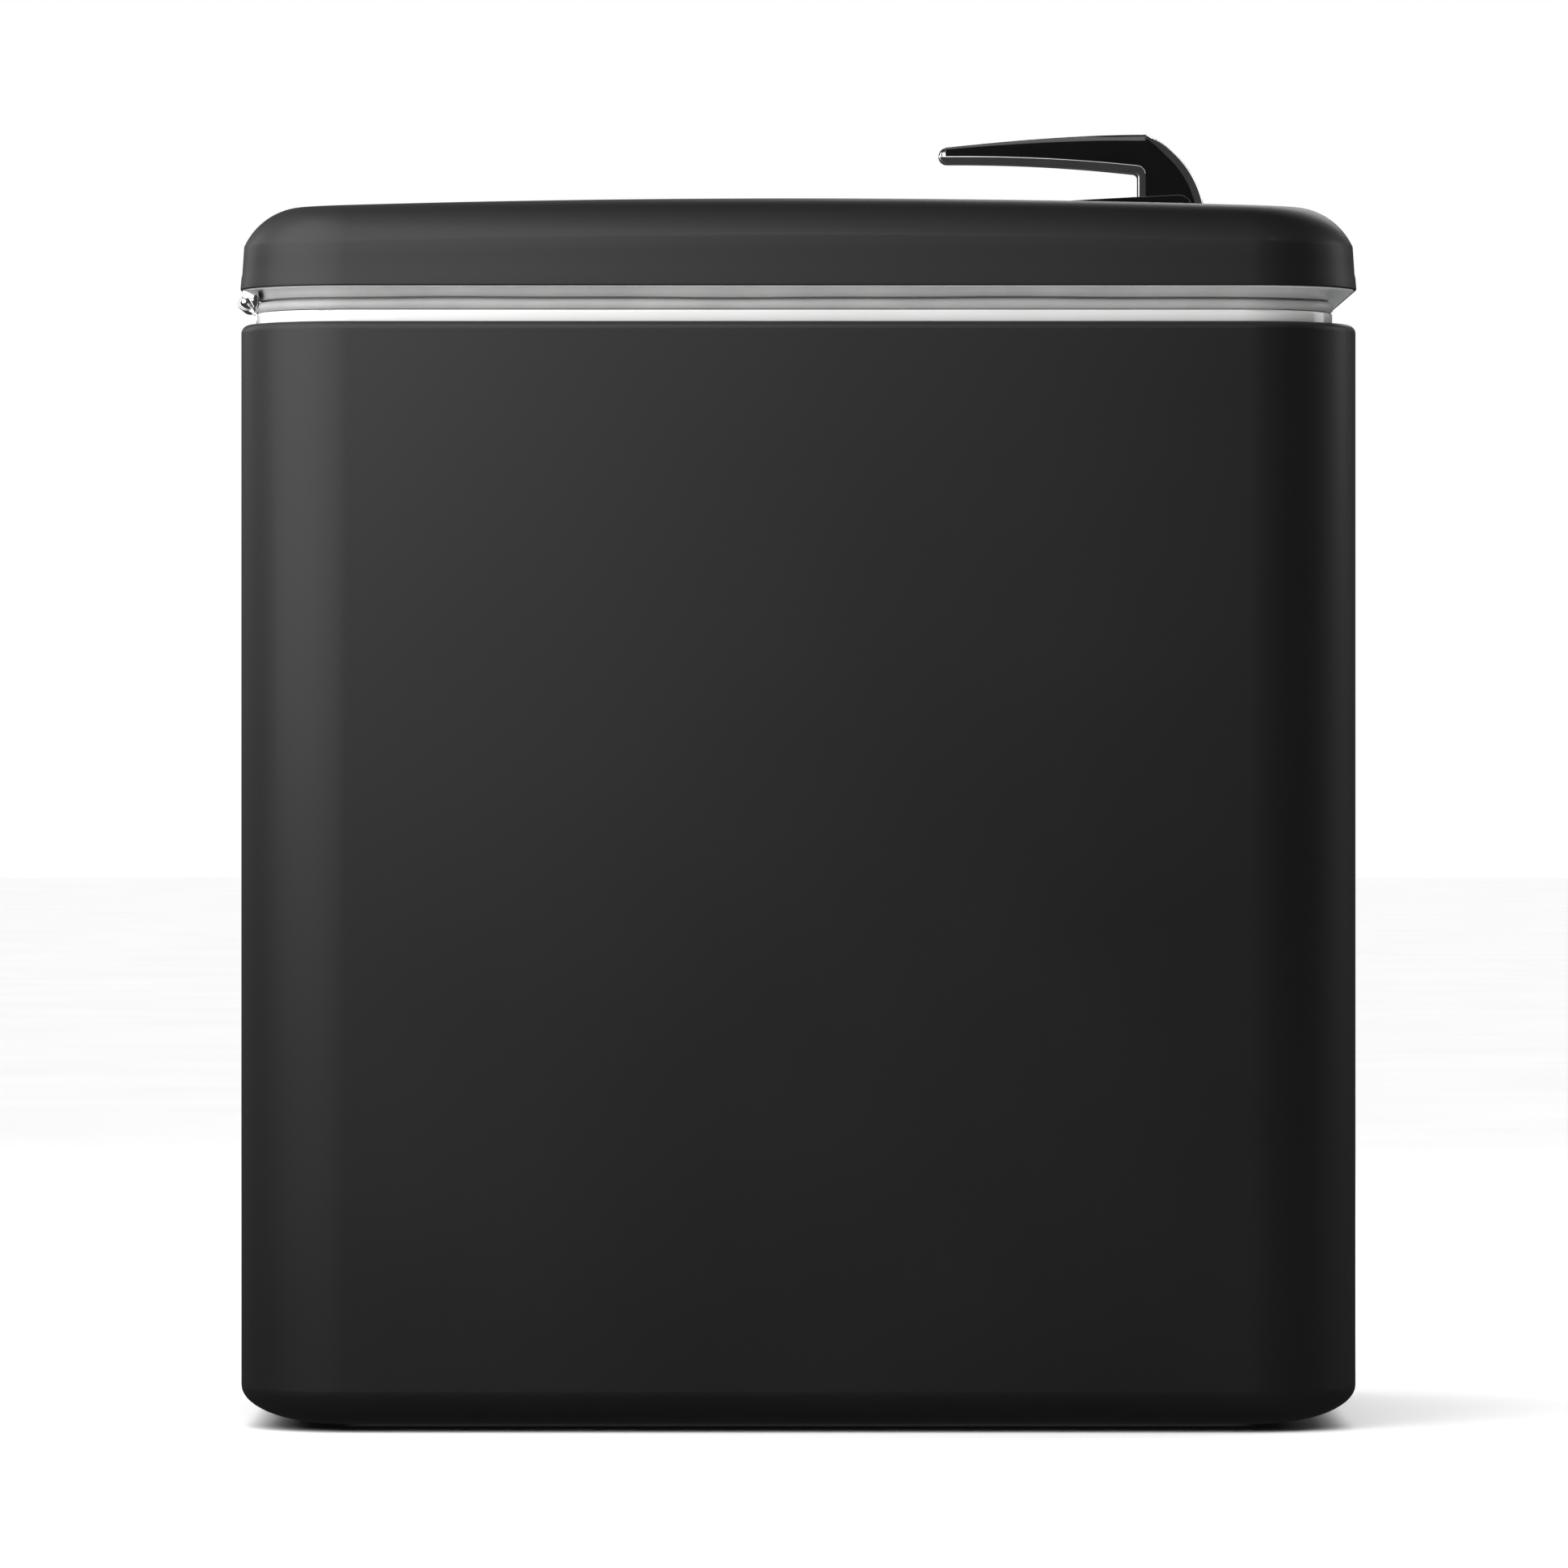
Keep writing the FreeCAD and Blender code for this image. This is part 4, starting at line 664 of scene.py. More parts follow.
@dataclass
class Cabinet:
    """The enamelled wrap, its louvred rear cover, the feet and the inlet."""

    louvre_half: float = 0.060
    louvre_first: float = 0.302
    louvre_pitch: float = 0.014
    louvres: int = 7
    hood_reach: float = 0.0022
    edge_radius: float = 0.060
    rim_radius: float = 0.0045
    foot_curve: Point = (0.050, 0.021)
    flange: float = 0.008
    deck: float = 0.016
    openings: tuple = ((1, (-0.062, 0.062), (0.527, 0.563)), (-1, (-0.100, 0.100), (0.110, 0.430)),
                       (-1, (0.035, 0.085), (0.056, 0.084)))
    foot_ribs: int = 4
    foot_radius: float = 0.019
    foot_places: tuple[Point, ...] = ((0.215, 0.084), (0.215, -0.084), (-0.215, 0.084), (-0.215, -0.084))

    def wrap_outline(self, low: float, high: float) -> list[Point]:
        """The wrap's outer section: flange, rounded foot, wall, rolled rim and deck.

        Args:
            low: The wrap's lowest height.
            high: Its rim's height.

        Returns:
            The open section.
        """
        out, rim = self.edge_radius, self.rim_radius
        reach, rise = self.foot_curve
        foot = [(out - reach + reach * x, low + rise + rise * z) for x, z in arc((0, 0), 1.0, -90.0, 0.0, 14)]
        bend = arc((out - rim, high - rim), rim, 0.0, 90.0, 8)
        return [(out - reach - self.flange, low)] + foot + bend + [(out - self.deck, high)]

    def wrap(self) -> None:
        """Builds the one-piece enamelled wrap with its three openings."""
        low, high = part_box("cabinet_shell")
        mesh = bmesh.new()
        swept_round(mesh, self.wrap_outline(low.z, high.z), CORNER_SPAN, 0.0, 22, False)
        for sign, (y_low, y_high), (z_low, z_high) in self.openings:
            for place, normal in (((0, y_low, 0), (0, 1, 0)), ((0, y_high, 0), (0, 1, 0)),
                                  ((0, 0, z_low), (0, 0, 1)), ((0, 0, z_high), (0, 0, 1))):
                wall = [face for face in mesh.faces if face.calc_center_median().x * sign > low.x * -0.999]
                bmesh.ops.bisect_plane(mesh, geom=all_of(wall), plane_co=place, plane_no=normal)
            hole = [face for face in mesh.faces if face.calc_center_median().x * sign > low.x * -0.999
                    and y_low < face.calc_center_median().y < y_high
                    and z_low < face.calc_center_median().z < z_high]
            bmesh.ops.delete(mesh, geom=hole, context="FACES")
        bmesh.ops.recalc_face_normals(mesh, faces=mesh.faces)
        bmesh.ops.solidify(mesh, geom=mesh.faces[:], thickness=SHEET)
        even(finished("enamelled_wrap", mesh, "enamel", "cabinet", ["cabinet_shell"], crease=50.0))

    def hood(self, mesh: bmesh.types.BMesh, face_x: float, z: float) -> None:
        """Adds one louvre: a pressed hood with rounded ends, open below.

        Args:
            mesh: The mesh to build in.
            face_x: The cover's outer face.
            z: The middle of the slot that it shades.
        """
        before = set(mesh.verts)
        rise = 0.0065
        outline = [(face_x + 0.0002, z + rise), (face_x - self.hood_reach * 0.55, z + rise * 0.45),
                   (face_x - self.hood_reach, z - 0.0022), (face_x - self.hood_reach + 0.0006, z - 0.0026),
                   (face_x - 0.0004, z + rise * 0.45), (face_x + 0.0002, z + rise - 0.0012)]
        bar_across(mesh, outline, -self.louvre_half - 0.003, self.louvre_half + 0.003)
        made = [vert for vert in mesh.verts if vert not in before]
        for vert in made:
            if vert.co.x < face_x - 0.0003:
                vert.co.y -= math.copysign(0.003, vert.co.y)

    def rear_cover(self) -> None:
        """Builds the service cover: a round-cornered sheet with a slot under each hood."""
        low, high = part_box("rear_cover")
        mesh = bmesh.new()
        rounded_slab(mesh, low, high, 0.004, Axis.X)
        for index in range(self.louvres):
            middle = self.louvre_first + index * self.louvre_pitch
            for height in (middle - 0.002, middle + 0.002):
                bmesh.ops.bisect_plane(mesh, geom=mesh.verts[:] + mesh.edges[:] + mesh.faces[:],
                                       plane_co=(0, 0, height), plane_no=(0, 0, 1))
        for side in (-self.louvre_half, self.louvre_half):
            bmesh.ops.bisect_plane(mesh, geom=mesh.verts[:] + mesh.edges[:] + mesh.faces[:],
                                   plane_co=(0, side, 0), plane_no=(0, 1, 0))
        faces = [face for face in mesh.faces
                 if self.in_slot(face.calc_center_median()) and abs(face.normal.x) > 0.9]
        front = [face for face in faces if face.normal.x < 0]
        back = [face for face in faces if face.normal.x > 0]
        for outer in front:
            middle = outer.calc_center_median()
            inner = min(back, key=lambda face: (face.calc_center_median() - middle).length)
            back.remove(inner)
            rims = list(outer.edges) + list(inner.edges)
            bmesh.ops.delete(mesh, geom=[outer, inner], context="FACES_ONLY")
            bmesh.ops.bridge_loops(mesh, edges=rims)
        for index in range(self.louvres):
            self.hood(mesh, low.x, self.louvre_first + index * self.louvre_pitch)
        finished("louvred_rear_cover", mesh, "enamel", "cabinet", ["rear_cover"])

    def in_slot(self, place: Vector) -> bool:
        """Whether a place on the cover is inside one of its slots."""
        index = round((place.z - self.louvre_first) / self.louvre_pitch)
        middle = self.louvre_first + index * self.louvre_pitch
        between = abs(place.z - middle) < 0.0019 and abs(place.y) < self.louvre_half
        return 0 <= index < self.louvres and between

    def feet(self) -> None:
        """Builds the four moulded pads with grip ribs under a bevelled skirt."""
        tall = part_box("foot_pads")[1].z
        out = self.foot_radius
        profile = [(0.0, 0.0006)]
        for rib in range(self.foot_ribs):
            near = out * (0.25 + 0.17 * rib)
            profile += [(near, 0.0006), (near + 0.0003, 0.0), (near + 0.0015, 0.0), (near + 0.0018, 0.0006)]
        profile += [(out - 0.0016, 0.0006), (out - 0.0012, 0.0), (out - 0.0004, 0.0), (out, 0.0004),
                    (out - 0.0003, tall - 0.0008), (out - 0.0012, tall), (0.0, tall)]
        mesh = bmesh.new()
        for x, y in self.foot_places:
            turned(mesh, profile, (x, y, 0.0), Axis.Z, 40)
        finished("ribbed_feet", mesh, "foot_rubber", "cabinet", ["foot_pads"])

    def build(self) -> None:
        """Builds the cabinet's own pieces."""
        self.wrap()
        self.rear_cover()
        self.feet()
        eased("mains_inlet", "black_plastic", "cabinet", 0.0004)


@dataclass
class Seal:
    """The soft vinyl seal under the lid: a flat band over a deep groove and a round bead."""

    corner_radius: float = 0.0495
    bead_radius: float = 0.0023
    bead_rise: float = 1.2
    groove_depth: float = 0.0042
    band_gap: float = 0.0011
    depth: float = 0.011
    wave: float = 0.00022

    def section(self, low: float, high: float) -> list[Point]:
        """The seal's section, counted from the corner's centre.

        Args:
            low: The seal's lowest height.
            high: Its highest.

        Returns:
            The closed section.
        """
        out = self.corner_radius
        half = self.bead_radius * self.bead_rise
        bead = [(x, low + half + (z - low - half) * self.bead_rise)
                for x, z in arc((out, low + half), self.bead_radius, -88.0, 84.0, 12)]
        neck = low + 2 * half
        lip = neck + self.band_gap
        groove = out - self.groove_depth
        band = bow((out - 0.0002, lip + 0.0004), (out - 0.0010, (lip + high) / 2), (out, high), 7)
        inner = out - self.depth
        below = [(inner, low + 0.0016), (inner + 0.0008, low + 0.0010), (out - 0.0030, low + 0.0001)]
        above = [(out - 0.0012, neck - 0.0001), (groove, neck + 0.0001), (groove, lip - 0.0001),
                 (out - 0.0008, lip)]
        return below + bead + above + band + [(inner, high)]

    def build(self) -> None:
        """Makes the seal in the place of its node, with the slight waves of a soft moulding."""
        low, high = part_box("lid_gasket")
        mesh = bmesh.new()
        swept_round(mesh, self.section(low.z, high.z), THROAT_SPAN, THROAT_SHIFT, 14, True, (28, 14))
        for vert in mesh.verts:
            x, y, z = vert.co
            free = min(1.0, max(0.0, (high.z - z) / 0.004)) * min(1.0, max(0.0, (z - low.z) / 0.002))
            drift = math.sin(23.0 * x + 5.0 * y) + 0.6 * math.sin(61.0 * x + 31.0 * y)
            vert.co.z += self.wave * free * drift
        finished("lid_seal_bellows", mesh, "gasket", "lid", ["lid_gasket"], crease=50.0)


@dataclass
class Lid:
    """The crowned lid pressing, its pan and what hangs from it."""

    crown: float = 0.674
    skirt_radius: float = 0.0605
    flare: float = 0.0020
    shoulder: float = 0.0355
    shoulder_out: float = 0.0032
    hem: float = 0.0012
    crown_x: float = 8.47
    crown_y: float = 3.75
    lever_slot: tuple[float, float, float] = (0.187, 0.2305, 0.0125)
    grid: tuple[int, int] = (26, 14)

    def outline(self, low: float) -> list[Point]:
        """The pressing's outer section from the hem up over the shoulder to the crown.

        Args:
            low: The lid's lowest height.

        Returns:
            The open section.
        """
        out = self.skirt_radius
        narrow = out - self.flare
        centre = (narrow + self.shoulder_out - self.shoulder, self.crown - self.shoulder)
        meets = math.degrees(math.acos((narrow - centre[0]) / self.shoulder))
        hem = arc((out - self.hem, low + self.hem), self.hem, -60.0, 0.0, 3)
        shoulder = arc(centre, self.shoulder, meets, 90.0, 16)
        skirt = [(out + (narrow - out) * share, low + self.hem + (shoulder[0][1] - low - self.hem) * share)
                 for share in (0.25, 0.5, 0.75)]
        return hem + skirt + shoulder + [(centre[0] * 0.5, self.crown), (0.0, self.crown)]

    def sag(self, place: Vector) -> float:
        """How far the crown has dropped at a place in plan."""
        return place.x ** 2 / (2 * self.crown_x) + place.y ** 2 / (2 * self.crown_y)

    def shell(self) -> None:
        """Builds the pressing: skirt, shoulder and double-crowned top with the lever's slot."""
        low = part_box("lid_shell")[0]
        mesh = bmesh.new()
        swept_round(mesh, self.outline(low.z), CORNER_SPAN, 0.0, 18, False, self.grid)
        top = bmesh.ops.create_grid(mesh, x_segments=self.grid[0], y_segments=self.grid[1], size=1.0)["verts"]
        bmesh.ops.scale(mesh, verts=top, vec=(*CORNER_SPAN, 1.0))
        bmesh.ops.translate(mesh, verts=top, vec=(0, 0, self.crown))
        bmesh.ops.remove_doubles(mesh, verts=mesh.verts, dist=1e-5)
        steady = low.z + 0.006
        shoulder_start = self.crown - self.shoulder
        for vert in mesh.verts:
            share = min(1.0, max(0.0, (vert.co.z - steady) / (shoulder_start - steady)))
            vert.co.z -= share * self.sag(vert.co)
        start, end, half = self.lever_slot
        for place, normal in (((start, 0, 0), (1, 0, 0)), ((end, 0, 0), (1, 0, 0)),
                              ((0, -half, 0), (0, 1, 0)), ((0, half, 0), (0, 1, 0))):
            near = [face for face in mesh.faces if face.calc_center_median().z > self.crown - 0.010
                    and start - 0.03 < face.calc_center_median().x < end + 0.03
                    and abs(face.calc_center_median().y) < half + 0.03]
            bmesh.ops.bisect_plane(mesh, geom=all_of(near), plane_co=place, plane_no=normal)
        hole = [face for face in mesh.faces if face.calc_center_median().z > self.crown - 0.010
                and start < face.calc_center_median().x < end and abs(face.calc_center_median().y) < half]
        bmesh.ops.delete(mesh, geom=hole, context="FACES")
        bmesh.ops.recalc_face_normals(mesh, faces=mesh.faces)
        bmesh.ops.solidify(mesh, geom=mesh.faces[:], thickness=SHEET)
        even(finished("crowned_lid_pressing", mesh, "enamel", "lid", ["lid_shell"], crease=50.0))

    def build(self) -> None:
        """Builds the lid's own pieces."""
        self.shell()
        eased("lid_magnet", "machined", "lid", 0.0004)


@dataclass
class Hinges:
    """Two barrel hinges with turned ends and ball-headed pins."""

    axis_x: float = -0.3025
    axis_z: float = 0.6155
    knuckle: float = 0.0049
    bore: float = 0.0026
    ball: float = 0.0032
    outer_y: float = 0.128
    length: float = 0.040
    share: float = 0.013
    gap: float = 0.0002
    leaf: float = 0.0009
    arm_y: Point = (-0.1460, -0.1347)
    rail: tuple[Point, ...] = ((0.0054, 0.0), (0.0054, 0.0040), (0.0060, 0.0047), (0.0072, 0.0047),
                               (0.0074, 0.0040), (0.0074, 0.0))
    elbow: tuple[Point, ...] = ((-0.0010, 0.0), (0.0076, 0.0), (0.0076, 0.0040))
    segments: int = 48

    def knuckle_profile(self, length: float) -> list[Point]:
        """One outer knuckle: a tube with a rolled lip round a deep groove at its outer end.

        Args:
            length: The knuckle's length.

        Returns:
            The closed profile.
        """
        out, bore = self.knuckle, self.bore
        lip = arc((out - 0.0006, 0.0006), 0.0006, 180.0, 360.0, 8)
        return [(bore, 0.0030), (out - 0.0013, 0.0030), (out - 0.0012, 0.0010)] + lip + \
            [(out, length - 0.0004), (out - 0.0004, length), (bore, length)]

    def body_leaves(self, side: int) -> None:
        """Builds the cabinet's half of one hinge.

        Args:
            side: -1 or 1, the hinge's side of the middle plane.
        """
        mesh = bmesh.new()
        outer, inner = -self.outer_y, -self.outer_y + self.length
        profile = self.knuckle_profile(self.share - self.gap / 2)
        turned(mesh, profile, (self.axis_x, outer, self.axis_z), Axis.Y, self.segments)
        far = turned(mesh, profile, (self.axis_x, outer, self.axis_z), Axis.Y, self.segments)
        halfway = Matrix.Translation((0, -(outer + inner) / 2, 0))
        bmesh.ops.scale(mesh, verts=far, vec=(1, -1, 1), space=halfway)
        wall = THROAT_SHIFT - THROAT_SPAN[0] - 0.051
        thin = wall - self.leaf
        plate = [(wall, 0.6027), (wall, 0.6094), (self.axis_x + 0.0040, self.axis_z - 0.0024),
                 (self.axis_x + 0.0010, self.axis_z - 0.0046), (thin, 0.6086), (thin, 0.6027)]
        for start in (outer + 0.0003, inner - self.share + self.gap / 2 + 0.0003):
            tab = bar_across(mesh, plate, start, start + self.share - 0.0008)
            soften(mesh, edges_of(tab, sharp(35)), 0.0002, 2)
        strap = rounded_slab(mesh, (thin, outer + 0.0006, 0.6028), (wall - 0.0001, inner - 0.0006, 0.6066),
                             0.0015, Axis.X)
        soften(mesh, edges_of(strap, sharp(60)), 0.0002, 1)
        self.place(mesh, side)
        finished(f"hinge_barrel_{self.word(side)}", mesh, "chrome", "cabinet", ["hinge_body_leaves"])

    def lid_leaves(self, side: int) -> None:
        """Builds the lid's half of one hinge: its middle knuckle and the strap under the lid.

        Args:
            side: -1 or 1, the hinge's side of the middle plane.
        """
        mesh = bmesh.new()
        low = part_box("lid_pan")[0].z
        start = -self.outer_y + self.share + self.gap / 2
        reach = self.length - 2 * self.share - self.gap
        out, bore = self.knuckle, self.bore
        profile = [(bore, 0.0), (out - 0.0004, 0.0), (out, 0.0004), (out, reach - 0.0004),
                   (out - 0.0004, reach), (bore, reach)]
        turned(mesh, profile, (self.axis_x, start, self.axis_z), Axis.Y, self.segments)
        seat = rounded_slab(mesh, (self.axis_x - 0.0020, start + 0.0002, self.axis_z + 0.0035),
                            (self.axis_x + 0.0070, start + reach - 0.0002, low), 0.0010, Axis.X)
        soften(mesh, edges_of(seat, sharp(60)), 0.0003, 1)
        rail = [(self.axis_x + ahead, low - drop) for ahead, drop in self.rail]
        bead = bar_across(mesh, rail, -self.outer_y + 0.0004, -self.outer_y + self.length - 0.0004)
        soften(mesh, edges_of(bead, sharp(60)), 0.0003, 1)
        elbow = [(self.axis_x + ahead, low - drop) for ahead, drop in self.elbow] \
            + arc((self.axis_x + 0.0056, low - 0.0080), 0.0018, 0.0, -120.0, 6) \
            + arc((self.axis_x + 0.0010, low - 0.0032), 0.0020, -60.0, -180.0, 6)
        arm = bar_across(mesh, elbow, *self.arm_y)
        soften(mesh, edges_of(arm, sharp(60)), 0.0006, 3)
        boss = [(0.0, -0.0009), (0.0011, -0.0009), (0.0015, -0.0004), (0.0015, 0.0006), (0.0, 0.0006)]
        turned(mesh, boss, (self.axis_x + 0.0040, self.arm_y[0] + 0.0002, low - 0.0034), Axis.Y, 24)
        self.place(mesh, side)
        finished(f"hinge_strap_{self.word(side)}", mesh, "chrome", "lid", ["hinge_lid_leaves"])

    def pins(self, side: int) -> None:
        """Builds one hinge pin with a polished ball at each end.

        Args:
            side: -1 or 1, the hinge's side of the middle plane.
        """
        mesh = bmesh.new()
        neck = 0.0016
        middle = 0.0030
        first = [(r, h - middle) for h, r in ((-z, x) for x, z in arc((0, 0), self.ball, 90.0, -50.0, 18))]
        second = [(r, self.length + middle - (h + middle)) for r, h in reversed(first)]
        shank = [(neck, 0.0), (0.0025, 0.0030), (0.0025, self.length - 0.0030), (neck, self.length)]
        profile = first + shank + second
        turned(mesh, profile, (self.axis_x, -self.outer_y, self.axis_z), Axis.Y, self.segments)
        self.place(mesh, side)
        finished(f"hinge_pin_{self.word(side)}", mesh, "chrome", "cabinet", ["hinge_pins"])

    def place(self, mesh: bmesh.types.BMesh, side: int) -> None:
        """Mirrors a near-side piece to the far side when it belongs there."""
        if side > 0:
            bmesh.ops.scale(mesh, verts=mesh.verts, vec=(1, -1, 1))

    def word(self, side: int) -> str:
        """The name of a side."""
        return "left" if side > 0 else "right"

    def build(self) -> None:
        """Builds both hinges."""
        for side in (-1, 1):
            self.body_leaves(side)
            self.lid_leaves(side)
            self.pins(side)


@dataclass
class LeverLatch:
    """The sculpted latch lever, its bright beads, and the wedge-shaped base it stands on."""

    pivot: Point = (0.208, 0.676)
    half: float = 0.011
    tip_half: float = 0.0075
    tip: Point = (0.0835, 0.704)
    tip_radius: float = 0.0046
    bead: float = 0.0042
    band: float = 0.0046
    post_x: float = 0.1906
    post_top: float = 0.6925
    foot: float = 0.671
    rear_centre: Point = (0.173, 0.6652)
    rear_radius: float = 0.0553
    rear_turn: Point = (66.2, 11.6)
    top_middle: Point = (0.1439, 0.7140)
    taper: Point = (0.070, 0.175)
    bevel: float = 0.0036
    tail_end: float = 0.646
    body_inset: float = 0.0009
    cap_reach: float = 0.0040
    spring_wire: float = 0.0006
    spring_turns: int = 7
    bolt_travel: float = 0.0129

    def underside(self, inset: float) -> list[Point]:
        """The lever's underside from its tip to the bend into the post and down to the foot.

        Args:
            inset: How far inside the outer surface the line runs.

        Returns:
            The points in order.
        """
        bend = 0.0026 + inset * 0.6
        corner = (self.post_x + inset - bend, self.post_top + 0.0017 + inset - bend)
        run = bow((self.tip[0], self.tip[1] - self.tip_radius + inset), (0.1367, 0.6983 + inset),
                  (corner[0], corner[1] + bend), 16)
        return run[:-1] + arc(corner, bend, 90.0, 0.0, 8) + [(self.post_x + inset, self.foot)]

    def rear(self, inset: float, steps: int = 16) -> list[Point]:
        """The arc over the lever's rear, from the top down, its inset growing from half at the top."""
        points = []
        for step in range(steps + 1):
            outer = self.rear_radius - inset * min(1.0, 0.5 + step / (0.6 * steps))
            turn = math.radians(self.rear_turn[0] + (self.rear_turn[1] - self.rear_turn[0]) * step / steps)
            points.append((self.rear_centre[0] + outer * math.cos(turn),
                           self.rear_centre[1] + outer * math.sin(turn)))
        return points

    def narrowed(self, mesh: bmesh.types.BMesh) -> None:
        """Draws the lever in towards its tip, as seen from above."""
        start, end = self.taper
        for vert in mesh.verts:
            share = min(1.0, max(0.0, (vert.co.x - start) / (end - start)))
            width = self.tip_half + (self.half - self.tip_half) * share
            vert.co.y *= width / self.half

    def core(self) -> None:
        """Builds the black body with a bevelled back, and the tail that pulls the bolt."""
        mesh = bmesh.new()
        rear = self.rear(self.band)
        crest = self.rear(0.0)[0]
        top = bow((self.tip[0], self.tip[1] + self.tip_radius), self.top_middle, crest, 16)
        blunt = self.tip[0] - 0.0010
        back = [(blunt, top[0][1] - 0.0001)] + top[:-1] + [crest]
        lowered = [(x, z - self.bevel * self.bevel_share(x)) for x, z in back]
        below = self.underside(self.bead)[::-1] + [(blunt, self.tip[1] - 0.0004)]
        behind = rear[1:] + [(rear[-1][0], self.foot)]
        side = self.half - self.body_inset
        edges = side_outline(mesh, below + lowered + behind, -side, True)
        skin = bmesh.ops.contextual_create(mesh, geom=edges)["faces"]
        for sideways, outline, turn in ((self.bevel, back, -1), (2 * (side - self.bevel), back, 1),
                                        (self.bevel, lowered, 0)):
            drawn = bmesh.ops.extrude_face_region(mesh, geom=skin, use_keep_orig=True)["geom"]
            skin = [item for item in drawn if isinstance(item, bmesh.types.BMFace)]
            moved = [item for item in drawn if isinstance(item, bmesh.types.BMVert)]
            bmesh.ops.translate(mesh, verts=moved, vec=(0.0, sideways, 0.0))
            for vert in moved:
                for x, z in outline:
                    level = abs(vert.co.x - x) < 1e-6
                    if level and vert.co.z > lowered[0][1] - 0.0002 and vert.co.x > blunt - 1e-6:
                        vert.co.z = z
                        if turn:
                            vert.co.y = turn * (side - self.bevel * self.bevel_share(x))
        inner = [face for face in mesh.faces if len(face.verts) > 8
                 and all(abs(vert.co.y) < side - 1e-5 for vert in face.verts)]
        bmesh.ops.delete(mesh, geom=inner, context="FACES_ONLY")
        soften(mesh, edges_of(mesh.verts, sharp(24)), 0.0003, 2)
        self.narrowed(mesh)
        pivot_x = self.pivot[0]
        rounded_slab(mesh, (pivot_x - 0.002, -0.004, self.tail_end),
                     (pivot_x + 0.002, 0.004, self.foot + 0.001), 0.0008, Axis.Z)
        peg = [(0.0, -0.006), (0.0026, -0.006), (0.0030, -0.0056), (0.0030, 0.0056), (0.0026, 0.006),
               (0.0, 0.006)]
        turned(mesh, peg, (pivot_x, 0.0, self.tail_end), Axis.Y, 24)
        even(finished("lever_body", mesh, "lever_black", "lever", ["lever_handle"], crease=35.0))

    def bevel_share(self, x: float) -> float:
        """How much of its full height the back's bevel has at a distance along the lever."""
        return 0.25 + 0.75 * min(1.0, max(0.0, (x - self.tip[0]) / 0.105))

    def beads(self) -> None:
        """Builds the bright bead under the lever and down its post, and the band over its rear."""
        mesh = bmesh.new()
        under, inner = self.underside(0.0), self.underside(self.bead)
        cap = arc(self.tip, self.tip_radius, 180.0, 268.0, 10)
        outline = inner[::-1] + [(self.tip[0] - 0.0012, self.tip[1] - 0.0004)] + cap + under[1:]
        lower = bar_across(mesh, outline, -self.half, self.half)
        soften(mesh, edges_of(lower, self.along_side), 0.0017, 5)
        outer, hidden = self.rear(0.0), self.rear(self.band)
        outline = outer + [(outer[-1][0], self.foot), (hidden[-1][0], self.foot)] + hidden[::-1]
        upper = bar_across(mesh, outline, -self.half - 0.0002, self.half + 0.0002)
        soften(mesh, edges_of(upper, self.along_band), 0.0020, 6)
        self.narrowed(mesh)
        cap_place = Matrix.Translation((self.tip[0] - self.tip_radius + self.cap_reach, 0.0, self.tip[1]))
        cap_size = Matrix.Diagonal((self.cap_reach, self.tip_half - 0.0002, self.tip_radius - 0.00005, 1.0))
        bmesh.ops.create_uvsphere(mesh, u_segments=40, v_segments=24, radius=1.0, matrix=cap_place @ cap_size)
        even(finished("lever_bright_beads", mesh, "chrome", "lever", ["lever_trim"], crease=50.0))

    def spring(self) -> None:
        """Coils the bolt's return spring to the length of its node."""
        low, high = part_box("latch_spring")
        middle = (low.z + high.z) / 2
        length = high.x - low.x
        mesh = bmesh.new()
        start = Matrix.Translation((low.x + self.spring_wire, high.y - self.spring_wire, middle))
        ring = bmesh.ops.create_circle(mesh, cap_ends=False, segments=10, radius=self.spring_wire,
                                       matrix=start)["verts"]
        steps = self.spring_turns * 20
        bmesh.ops.spin(mesh, geom=ring + edges_of(ring), cent=(0.0, 0.0, middle), axis=(1, 0, 0),
                       dvec=((length - 2 * self.spring_wire) / steps, 0, 0),
                       angle=2 * math.pi * self.spring_turns, steps=steps, use_merge=False)
        bmesh.ops.holes_fill(mesh, edges=[edge for edge in mesh.edges if len(edge.link_faces) == 1], sides=0)
        piece = finished("coiled_latch_spring", mesh, "zinc", "lid", ["latch_spring"], crease=50.0)
        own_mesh(piece)

    def along_side(self, edge: bmesh.types.BMEdge) -> bool:
        """Whether an edge runs along one of the lever's two sides."""
        return abs(edge.verts[0].co.y - edge.verts[1].co.y) < 1e-7 and abs(edge.verts[0].co.y) > 1e-4

    def along_band(self, edge: bmesh.types.BMEdge) -> bool:
        """Whether an edge runs along the band's outer rim."""
        centre = Vector((self.rear_centre[0], 0.0, self.rear_centre[1]))
        reach = [(Vector((vert.co.x, 0.0, vert.co.z)) - centre).length for vert in edge.verts]
        return self.along_side(edge) and all(abs(length - self.rear_radius) < 0.0003 for length in reach)

